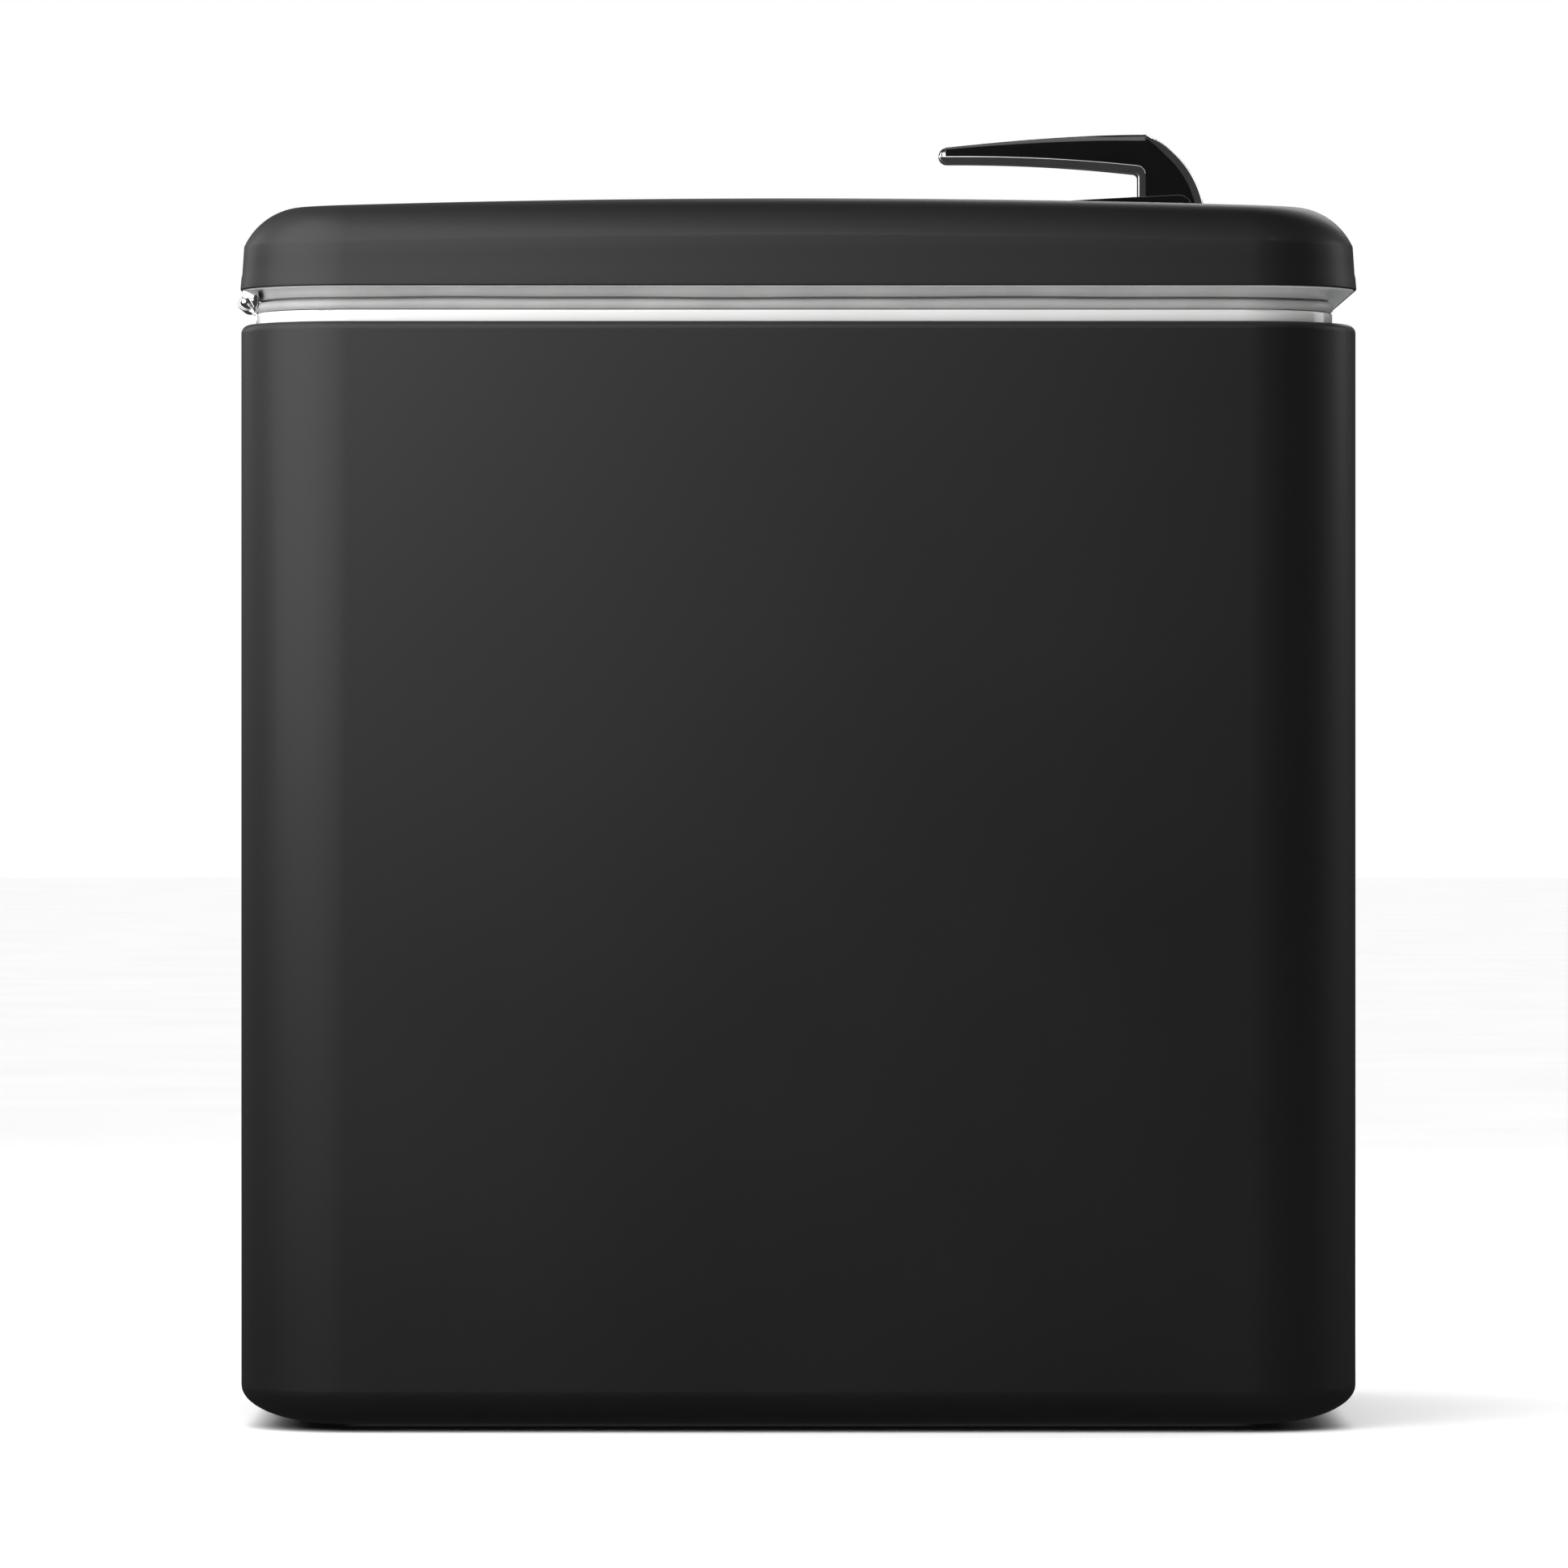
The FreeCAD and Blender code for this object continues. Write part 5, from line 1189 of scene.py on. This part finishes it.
    def base(self) -> None:
        """Builds the wedge-shaped base, higher towards the pivot, round the lever's slot."""
        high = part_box("lever_escutcheon")[1]
        mesh = bmesh.new()
        crown = 0.674
        stations = (0.1480, 0.1510, 0.1540, 0.1580, 0.1620, 0.1750)
        upper = [(0.1468, crown - 0.0008), (0.1472, crown + 0.0030)] + \
            [(x, crown + 0.0041 + (x - 0.1480) * 0.052) for x in stations]
        lower = [(x, crown - 0.0008 - (x - 0.1468) * 0.020) for x in stations[::-1]]
        nose = arc((0.2135, crown + 0.0007), 0.0067, 88.0, 18.0, 8)
        heel = [(0.2226, crown + 0.0018), (0.2338, crown - 0.0010), (0.2338, crown - 0.0033),
                (0.19, crown - 0.0017)]
        outline = upper + [(0.2115, crown + 0.0074)] + nose + heel + lower
        start, end = 0.187, 0.2305
        slot = self.half + 0.0015
        wide = high.y
        for side in (-1, 1):
            reach = sorted((side * slot, side * wide))
            cheek = bar_across(mesh, outline, *reach)
            soften(mesh, edges_of(cheek, self.outer_side(side, wide)), 0.0006, 3)
        nose = upper + [(start, crown + 0.0041 + (start - 0.1480) * 0.052), (start, crown - 0.0016)] + lower
        bar_across(mesh, nose, -slot, slot)
        bar_across(mesh, [(end, crown - 0.0002), (0.2338, crown - 0.0010), (0.2338, crown - 0.0033),
                          (end, crown - 0.0031)], -slot, slot)
        for x in stations:
            bmesh.ops.bisect_plane(mesh, geom=mesh.verts[:] + mesh.edges[:] + mesh.faces[:], dist=1e-6,
                                   plane_co=(x, 0, 0), plane_no=(1, 0, 0))
        for vert in mesh.verts:
            past = max(0.0, 0.162 - vert.co.x) / 0.0152
            pinch = math.sqrt(max(0.0, 1.0 - min(0.96, past) ** 2))
            vert.co.y *= pinch
        even(finished("lever_base", mesh, "lever_black", "lid", ["lever_escutcheon"], crease=35.0))

    def outer_side(self, side: int, wide: float) -> Callable[[bmesh.types.BMEdge], bool]:
        """A test for the edges along a cheek's outer side."""
        return lambda edge: all(abs(vert.co.y - side * wide) < 1e-6 for vert in edge.verts)

    def build(self) -> None:
        """Builds the lever, its beads, its base and the eased bolt."""
        self.core()
        self.beads()
        self.base()
        self.spring()
        eased("latch_bolt", "zinc", "bolt", 0.0005)


@dataclass
class Controls:
    """The panel on the front end: brushed plate, two push buttons and a key switch."""

    panel_z: float = 0.545
    start_y: float = -0.038
    stop_y: float = -0.008
    key_y: float = 0.034
    button_radius: float = 0.008
    ring_width: float = 0.0016
    key_radius: float = 0.009
    corner: float = 0.006

    def button(self, node: str, slot: str, body: str, y: float, sides: int) -> None:
        """Builds one push button: a dished cap with a raised sign on a guided stem.

        Args:
            node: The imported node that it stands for.
            slot: Its material slot.
            body: The body it rides on.
            y: Where it stands across the panel.
            sides: How many sides its raised sign has.
        """
        low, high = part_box(node)
        face = high.x
        out = self.button_radius
        start = low.x
        profile = [(0.0, start), (0.0046, start), (0.0050, start + 0.0004), (0.0050, face - 0.0021),
                   (out - 0.0004, face - 0.0021), (out, face - 0.0017), (out, face - 0.0006),
                   (out - 0.0002, face - 0.0002), (out - 0.0007, face), (out - 0.0013, face - 0.0001),
                   (out - 0.0030, face - 0.0005), (0.0, face - 0.0007)]
        mesh = bmesh.new()
        turned(mesh, profile, (0.0, y, self.panel_z), Axis.X, 48)
        place = Matrix.Translation((face - 0.0007, y, self.panel_z)) @ Matrix.Rotation(math.pi / 2, 4, "Y")
        turn = Matrix.Rotation(math.radians(45.0 if sides == 4 else 0.0), 4, "Z")
        sign = bmesh.ops.create_cone(mesh, cap_ends=True, segments=sides, radius1=0.0030, radius2=0.0027,
                                     depth=0.0008, matrix=place @ turn)["verts"]
        soften(mesh, edges_of(sign, sharp(60)), 0.00012, 1)
        finished("push_cap_" + body, mesh, slot, body, [node])

    def plate(self) -> None:
        """Builds the plate with its three collared holes."""
        low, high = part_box("control_bezel")
        mesh = bmesh.new()
        holes = ((self.start_y, self.button_radius), (self.stop_y, self.button_radius),
                 (self.key_y, self.key_radius))
        border = 0.0005
        half_y, half_z = high.y, (high.z - low.z) / 2
        front = high.x - 0.0001
        rim = bmesh.ops.create_grid(mesh, x_segments=1, y_segments=3, size=1.0,
                                    matrix=Matrix.Rotation(math.pi / 2, 4, "Y"))["verts"]
        edges = sorted({round(vert.co.y, 4) for vert in rim})
        stops = (-half_y, (self.start_y + self.stop_y) / 2, (self.stop_y + self.key_y) / 2, half_y)
        for vert in rim:
            stop = stops[edges.index(round(vert.co.y, 4))]
            vert.co = Vector((front, stop, self.panel_z + half_z * vert.co.z))
        cells = sorted(mesh.faces[:], key=lambda face: face.calc_center_median().y)
        for (y, radius), cell in zip(holes, cells):
            outer = list(cell.edges)
            bmesh.ops.delete(mesh, geom=[cell], context="FACES_ONLY")
            place = Matrix.Translation((front, y, self.panel_z)) @ Matrix.Rotation(math.pi / 2, 4, "Y")
            circle = bmesh.ops.create_circle(mesh, cap_ends=False, segments=48, radius=radius + 0.0003,
                                             matrix=place)
            bmesh.ops.bridge_loops(mesh, edges=outer + edges_of(circle["verts"]))
        border_edges = [edge for edge in mesh.edges if len(edge.link_faces) == 1]
        drawn = bmesh.ops.extrude_edge_only(mesh, edges=border_edges)["geom"]
        bmesh.ops.translate(mesh, verts=[item for item in drawn if isinstance(item, bmesh.types.BMVert)],
                            vec=(-border, 0, 0))
        bmesh.ops.recalc_face_normals(mesh, faces=mesh.faces)
        corners = [edge for edge in mesh.edges if abs(direction(edge).x) > 0.9
                   and all(abs(abs(vert.co.y) - half_y) < 1e-6 for vert in edge.verts)]
        soften(mesh, corners, self.corner, 8)
        bmesh.ops.solidify(mesh, geom=mesh.faces[:], thickness=0.0004)
        proud = max(vert.co.x for vert in mesh.verts)
        bmesh.ops.translate(mesh, verts=mesh.verts, vec=(high.x - proud, 0, 0))
        even(finished("brushed_control_plate", mesh, "stainless", "cabinet", ["control_bezel"], crease=35.0))
        rings = bmesh.new()
        for y, radius in holes:
            bore = radius + 0.0003
            rim_out = bore + self.ring_width
            ring = [(bore, -0.0040), (bore, -0.0003), (bore + 0.0002, 0.0),
                    (bore + self.ring_width * 0.5, 0.0), (rim_out, -0.0004), (rim_out, -0.0040)]
            turned(rings, ring, (high.x, y, self.panel_z), Axis.X, 56)
        finished("control_hole_collars", rings, "chrome", "cabinet")

    def key(self) -> None:
        """Builds the key switch: a ridged barrel face with a keyway."""
        low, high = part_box("key_switch")
        face, out = high.x, self.key_radius
        profile = [(0.0, low.x), (0.0050, low.x), (0.0050, face - 0.0046), (out - 0.0003, face - 0.0046),
                   (out, face - 0.0043), (out, face - 0.0005), (out - 0.0005, face), (out - 0.0022, face),
                   (out - 0.0025, face - 0.0004), (out - 0.0029, face - 0.0004), (out - 0.0032, face),
                   (0.0012, face), (0.0012, face - 0.0030), (0.0, face - 0.0030)]
        mesh = bmesh.new()
        turned(mesh, profile, (0.0, self.key_y, self.panel_z), Axis.X, 64)
        finished("key_barrel", mesh, "chrome", "key", ["key_switch"])
        way = bmesh.new()
        rounded_slab(way, (face - 0.0002, self.key_y - 0.0009, self.panel_z - 0.0046),
                     (face - 0.00002, self.key_y + 0.0009, self.panel_z + 0.0046), 0.0004, Axis.X)
        finished("keyway_shutter", way, "black_plastic", "key")

    def build(self) -> None:
        """Builds the panel's pieces."""
        self.plate()
        self.button("start_button", "start_green", "start", self.start_y, 3)
        self.button("stop_button", "stop_red", "stop", self.stop_y, 4)
        self.key()


@dataclass
class Press:
    """The scissor press hung under the lid: gearmotor, arms, bracket and the waffled platen."""

    motor_axis: Point = (0.0385, 0.5973)
    motor_radius: float = 0.019
    boss_radius: float = 0.008
    ribs: int = 8
    rib_pitch: float = 0.0058
    bolt_circle: float = 0.0145
    platen_radius: float = 0.020
    platen_wall: float = 0.003
    platen_sheet: float = 0.004
    edge: float = 0.005
    cells: tuple[int, int] = (16, 8)
    cell_border: float = 0.0042
    cell_depth: float = 0.0018
    cover_margin: float = 0.004

    def motor(self) -> None:
        """Builds the motor's ribbed can with its end bells, through bolts and shaft boss."""
        low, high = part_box("drive_motor")
        out, start, end = self.motor_radius, low.x, high.x - 0.006
        can = [(0.0, start), (out - 0.0020, start), (out - 0.0008, start + 0.0012),
               (out - 0.0008, start + 0.0200)]
        for rib in range(self.ribs):
            x = start + 0.0212 + rib * self.rib_pitch
            can += [(out - 0.0014, x), (out, x + 0.0004), (out, x + 0.0032), (out - 0.0014, x + 0.0036)]
        can += [(out - 0.0014, end - 0.0180), (out - 0.0002, end - 0.0176), (out - 0.0002, end - 0.0030),
                (out - 0.0034, end), (self.boss_radius + 0.002, end), (self.boss_radius, end + 0.0012),
                (self.boss_radius, high.x - 0.0008), (self.boss_radius - 0.0008, high.x), (0.0, high.x)]
        mesh = bmesh.new()
        turned(mesh, can, (0.0, *self.motor_axis), Axis.X, 64)
        for turn in range(4):
            angle = math.radians(45.0 + 90.0 * turn)
            place = (0.0, self.motor_axis[0] + self.bolt_circle * 0.9 * math.cos(angle),
                     self.motor_axis[1] + self.bolt_circle * 0.9 * math.sin(angle))
            head = [(0.0, end - 0.002), (0.0022, end - 0.002), (0.0022, end + 0.0010), (0.0016, end + 0.0016),
                    (0.0, end + 0.0016)]
            turned(mesh, head, place, Axis.X, 6)
        even(finished("ribbed_gearmotor", mesh, "frame_steel", "lid", ["drive_motor"], crease=35.0))

    def gearbox_cover(self) -> None:
        """Builds the screwed cover on the gearbox's outer side."""
        low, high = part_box("worm_gearbox")
        inset = self.cover_margin
        mesh = bmesh.new()
        plate = rounded_slab(mesh, (low.x + inset, high.y - 0.0002, low.z + inset),
                             (high.x - inset, high.y + 0.0022, high.z - inset), 0.005, Axis.Y)
        soften(mesh, edges_of(plate, sharp(60)), 0.0006, 2)
        middle = ((low.x + high.x) / 2, high.y + 0.0020, (low.z + high.z) / 2)
        cap = [(0.0, 0.0), (0.0110, 0.0), (0.0104, 0.0014), (0.0060, 0.0020), (0.0, 0.0020)]
        turned(mesh, cap, middle, Axis.Y, 40)
        for x in (low.x + 2 * inset, high.x - 2 * inset):
            for z in (low.z + 2 * inset, high.z - 2 * inset):
                turned(mesh, [(0.0, 0.0), (0.0024, 0.0), (0.0024, 0.0012), (0.0016, 0.0018), (0.0, 0.0018)],
                       (x, high.y + 0.0018, z), Axis.Y, 6)
        even(finished("gearbox_side_cover", mesh, "cast", "lid", crease=35.0))

    def platen(self) -> None:
        """Builds the pressed platen: a turned-up rim round a plate of square dimples."""
        low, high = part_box("platen")
        mesh = bmesh.new()
        out, sheet = self.platen_radius, self.platen_sheet
        inner = out - self.platen_wall
        heel = arc((out - self.edge, low.z + self.edge), self.edge, -90.0, 0.0, 6)
        roll = self.platen_wall / 2
        lip = arc((out - roll, high.z - roll), roll, 0.0, 180.0, 6)
        hollow = arc((inner - 0.002, low.z + sheet + 0.002), 0.002, 0.0, -90.0, 4)
        section = [(out - 0.0130, low.z + 0.0004), (out - 0.0062, low.z + 0.0004)] + heel + lip + hollow \
            + [(out - 0.0130, low.z + sheet)]
        span = (high.x - out, high.y - out)
        swept_round(mesh, section, span, 0.0, 10)
        reach = (span[0] + 0.0092, span[1] + 0.0092)
        sheet_verts = bmesh.ops.create_grid(mesh, x_segments=self.cells[0], y_segments=self.cells[1],
                                            size=1.0)["verts"]
        bmesh.ops.scale(mesh, verts=sheet_verts, vec=(*reach, 1.0))
        bmesh.ops.translate(mesh, verts=sheet_verts, vec=(0.0, 0.0, low.z))
        faces = list(dict.fromkeys(face for vert in sheet_verts for face in vert.link_faces))
        bmesh.ops.reverse_faces(mesh, faces=faces)
        bmesh.ops.inset_individual(mesh, faces=faces, thickness=self.cell_border, depth=0.0)
        bmesh.ops.inset_individual(mesh, faces=faces, thickness=self.cell_depth, depth=-self.cell_depth)
        rim = [edge for edge in mesh.edges if len(edge.link_faces) == 1]
        drawn = bmesh.ops.extrude_edge_only(mesh, edges=rim)["geom"]
        raised = [item for item in drawn if isinstance(item, bmesh.types.BMVert)]
        bmesh.ops.translate(mesh, verts=raised, vec=(0.0, 0.0, sheet - 0.0002))
        bmesh.ops.holes_fill(mesh, edges=[edge for edge in mesh.edges if len(edge.link_faces) == 1], sides=0)
        even(finished("waffled_platen", mesh, "stainless", "press_plate", ["platen"], crease=35.0))

    def build(self) -> None:
        """Builds the press and eases the edges of its plainer pieces."""
        self.motor()
        self.gearbox_cover()
        self.platen()
        for node, slot, body, radius in (
                ("worm_gearbox", "cast", "lid", 0.0020), ("press_bracket", "frame_steel", "lid", 0.0008),
                ("platen_saddle", "cast", "press_plate", 0.0012),
                ("platen_channels", "galvanised", "press_plate", 0.0005),
                ("upper_arm_rear", "machined", "rear_upper", 0.0006),
                ("upper_arm_front", "machined", "front_upper", 0.0006),
                ("lower_arm_rear", "frame_steel", "rear_lower", 0.0008),
                ("lower_arm_front", "frame_steel", "front_lower", 0.0008)):
            eased(node, slot, body, radius)


@dataclass
class LidInterior:
    """What shows under the raised lid: the beaded pan and the louvred filter cartridge."""

    bead_radius: float = 0.0030
    bead_proud: float = 0.0009
    bead_runs: tuple = ((-0.150, -0.215, 0.060), (-0.112, -0.215, 0.060), (-0.074, -0.215, 0.060),
                        (0.096, -0.215, 0.215), (0.134, -0.215, 0.215))
    slats: int = 9
    frame: float = 0.005

    def beads(self) -> None:
        """Builds the stiffening beads pressed into the pan."""
        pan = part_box("lid_pan")[0].z
        mesh = bmesh.new()
        depth = self.bead_radius - self.bead_proud
        for y, start, end in self.bead_runs:
            half = [(self.bead_radius * math.sin(math.radians(turn)), start - self.bead_radius
                     * math.cos(math.radians(turn))) for turn in (0, 18, 36, 54, 72, 90)]
            half += [(radius, end - (height - start)) for radius, height in half[::-1]]
            turned(mesh, half, (0.0, y, pan + depth), Axis.X, 24)
        for vert in mesh.verts:
            vert.co.z = min(vert.co.z, pan + 0.0004)
        bmesh.ops.dissolve_degenerate(mesh, dist=1e-6, edges=mesh.edges)
        finished("lid_pan_beads", mesh, "liner_grey", "lid", crease=50.0)

    def cartridge(self) -> None:
        """Builds the filter cartridge: a frame, a backing and slanted slats."""
        low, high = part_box("odour_filter")
        mesh = bmesh.new()
        back = rounded_slab(mesh, (low.x, low.y, low.z + 0.006), (high.x, high.y, high.z), 0.006)
        soften(mesh, edges_of(back, sharp(60)), 0.0006, 2)
        for start, end in (((low.x, low.y), (high.x, low.y + self.frame)),
                           ((low.x, high.y - self.frame), (high.x, high.y)),
                           ((low.x, low.y), (low.x + self.frame, high.y)),
                           ((high.x - self.frame, low.y), (high.x, high.y))):
            rail = block(mesh, (*start, low.z), (*end, low.z + 0.0065))
            soften(mesh, edges_of(rail), 0.0007, 2)
        pitch = (high.x - low.x - 2 * self.frame) / self.slats
        for slat in range(self.slats):
            x = low.x + self.frame + pitch * (slat + 0.22)
            leaf = [(x, low.z + 0.0010), (x + 0.0012, low.z + 0.0006), (x + 0.0052, low.z + 0.0062),
                    (x + 0.0038, low.z + 0.0064)]
            bar_across(mesh, leaf, low.y + self.frame * 0.6, high.y - self.frame * 0.6)
        even(finished("filter_cartridge", mesh, "filter_grey", "lid", ["odour_filter"], crease=35.0))

    def build(self) -> None:
        """Builds what the raised lid shows."""
        self.beads()
        self.cartridge()
        for node, slot, body, radius in (
                ("lid_stiffeners", "galvanised", "lid", 0.0004),
                ("latch_guide", "black_plastic", "lid", 0.0005),
                ("lid_sensor", "black_plastic", "cabinet", 0.0005),
                ("latch_keeper", "zinc", "cabinet", 0.0004)):
            eased(node, slot, body, radius)


@dataclass(frozen=True)
class Softbox:
    """One soft light of the studio."""

    name: str
    place: tuple[float, float, float]
    aim: tuple[float, float, float]
    size: Point
    power: float

    def hang(self) -> bpy.types.Object:
        """Hangs the light and turns it to its aim.

        Returns:
            The lamp.
        """
        data = bpy.data.lights.new(self.name, "AREA")
        data.shape, data.energy = "RECTANGLE", self.power
        data.size, data.size_y = self.size
        lamp = bpy.data.objects.new(self.name, data)
        lamp.location = self.place
        lamp.rotation_euler = (Vector(self.aim) - Vector(self.place)).to_track_quat("-Z", "Y").to_euler()
        lamp.visible_camera = False
        bpy.context.scene.collection.objects.link(lamp)
        return lamp


@dataclass
class Studio:
    """The pale floor, the soft lights and the camera."""

    eye: tuple[float, float, float] = (-0.0079, -5.29, 0.3516)
    lens: float = 216.3
    floor_size: float = 60.0
    surround: float = 0.05
    boxes: tuple[Softbox, ...] = (
        Softbox("key_softbox", (-0.511, -0.574, 0.869), (0.0, -0.19, 0.40), (1.27, 1.27), 13.7),
        Softbox("front_end_softbox", (2.4, 0.9, 1.3), (0.3, 0.0, 0.4), (1.0, 1.4), 10.0),
        Softbox("rear_end_softbox", (-2.2, 1.8, 1.4), (-0.3, 0.0, 0.4), (1.0, 1.4), 10.5),
        Softbox("back_softbox", (0.7, 2.6, 1.9), (0.0, 0.19, 0.4), (1.4, 1.0), 20.0),
        Softbox("glint_light", (1.05, -1.1, 2.3), (0.27, -0.15, 0.66), (0.12, 0.12), 1.6),
    )

    cards: tuple[Softbox, ...] = (
        Softbox("ceiling_card", (0.25, -0.35, 1.8), (0.15, 0.0, 0.7), (1.2, 0.9), 4.2),
        Softbox("side_card", (1.45, -0.30, 1.45), (0.2, 0.0, 0.69), (1.1, 1.1), 5.0),
    )
    carded: tuple[str, ...] = ("lever_bright_beads", "lever_body", "lever_base")

    def trim_cards(self) -> None:
        """Hangs the narrow cards that only the lever's polished pieces reflect."""
        lit = bpy.data.collections.new("lit_by_cards")
        for name in self.carded:
            lit.objects.link(bpy.data.objects[name])
        for card in self.cards:
            card.hang().light_linking.receiver_collection = lit

    def camera(self) -> None:
        """Stands the camera level at the side of the cabinet."""
        data = bpy.data.cameras.new("side_camera")
        data.lens, data.sensor_width = self.lens, 36.0
        data.clip_start, data.clip_end = 0.1, 100.0
        camera = bpy.data.objects.new("side_camera", data)
        camera.location = self.eye
        camera.rotation_euler = (math.pi / 2, 0.0, 0.0)
        bpy.context.scene.collection.objects.link(camera)
        bpy.context.scene.camera = camera

    def floor(self) -> None:
        """Lays the floor, with an even overhead light that falls on it alone."""
        mesh = bmesh.new()
        bmesh.ops.create_grid(mesh, x_segments=2, y_segments=2, size=self.floor_size / 2)
        data = bpy.data.meshes.new("studio_floor")
        mesh.to_mesh(data)
        mesh.free()
        floor = bpy.data.objects.new("studio_floor", data)
        bpy.context.scene.collection.objects.link(floor)
        finish = Finish("pale_floor", (0.80, 0.80, 0.80), (0.83, 0.83, 0.83), (0.7, 0.8),
                        mottle=3.0, relief=0.0)
        data.materials.append(finish.build())
        floor.visible_glossy = False
        lit = bpy.data.collections.new("lit_by_overhead")
        lit.objects.link(floor)
        sky = bpy.data.lights.new("overhead", "SUN")
        sky.energy, sky.angle = 3.75, math.radians(100.0)
        lamp = bpy.data.objects.new("overhead", sky)
        lamp.location = (0.0, 0.0, 4.0)
        lamp.light_linking.receiver_collection = lit
        bpy.context.scene.collection.objects.link(lamp)

    def light(self) -> None:
        """Hangs the softboxes and sets the surrounding light."""
        for softbox in self.boxes:
            softbox.hang()
        world = bpy.data.worlds.new("studio")
        bpy.context.scene.world = world
        world.use_nodes = True
        nodes, links = world.node_tree.nodes, world.node_tree.links
        nodes.clear()
        output = nodes.new("ShaderNodeOutputWorld")
        seen, around = nodes.new("ShaderNodeBackground"), nodes.new("ShaderNodeBackground")
        seen.inputs["Strength"].default_value = 1.0
        around.inputs["Strength"].default_value = self.surround
        choice, ray = nodes.new("ShaderNodeMixShader"), nodes.new("ShaderNodeLightPath")
        for shader in (seen, around):
            shader.inputs["Color"].default_value = (1.0, 1.0, 1.0, 1.0)
        links.new(ray.outputs["Is Camera Ray"], choice.inputs[0])
        links.new(around.outputs[0], choice.inputs[1])
        links.new(seen.outputs[0], choice.inputs[2])
        links.new(choice.outputs[0], output.inputs["Surface"])
        bpy.context.scene.view_settings.view_transform = "Standard"

    def build(self) -> None:
        """Sets the whole studio up."""
        self.camera()
        self.floor()
        self.light()


def main() -> None:
    """Builds the studio and every sub-assembly in order."""
    logging.basicConfig(level=logging.INFO, format="%(name)s %(message)s")
    studio = Studio()
    studio.build()
    PAINT.dress_frame()
    for assembly in (Cabinet(), Seal(), Lid(), Hinges(), LeverLatch(), Controls(), Press(),
                     LidInterior()):
        assembly.build()
        log.info("%s built", type(assembly).__name__)
    studio.trim_cards()


if __name__ == "__main__":
    main()
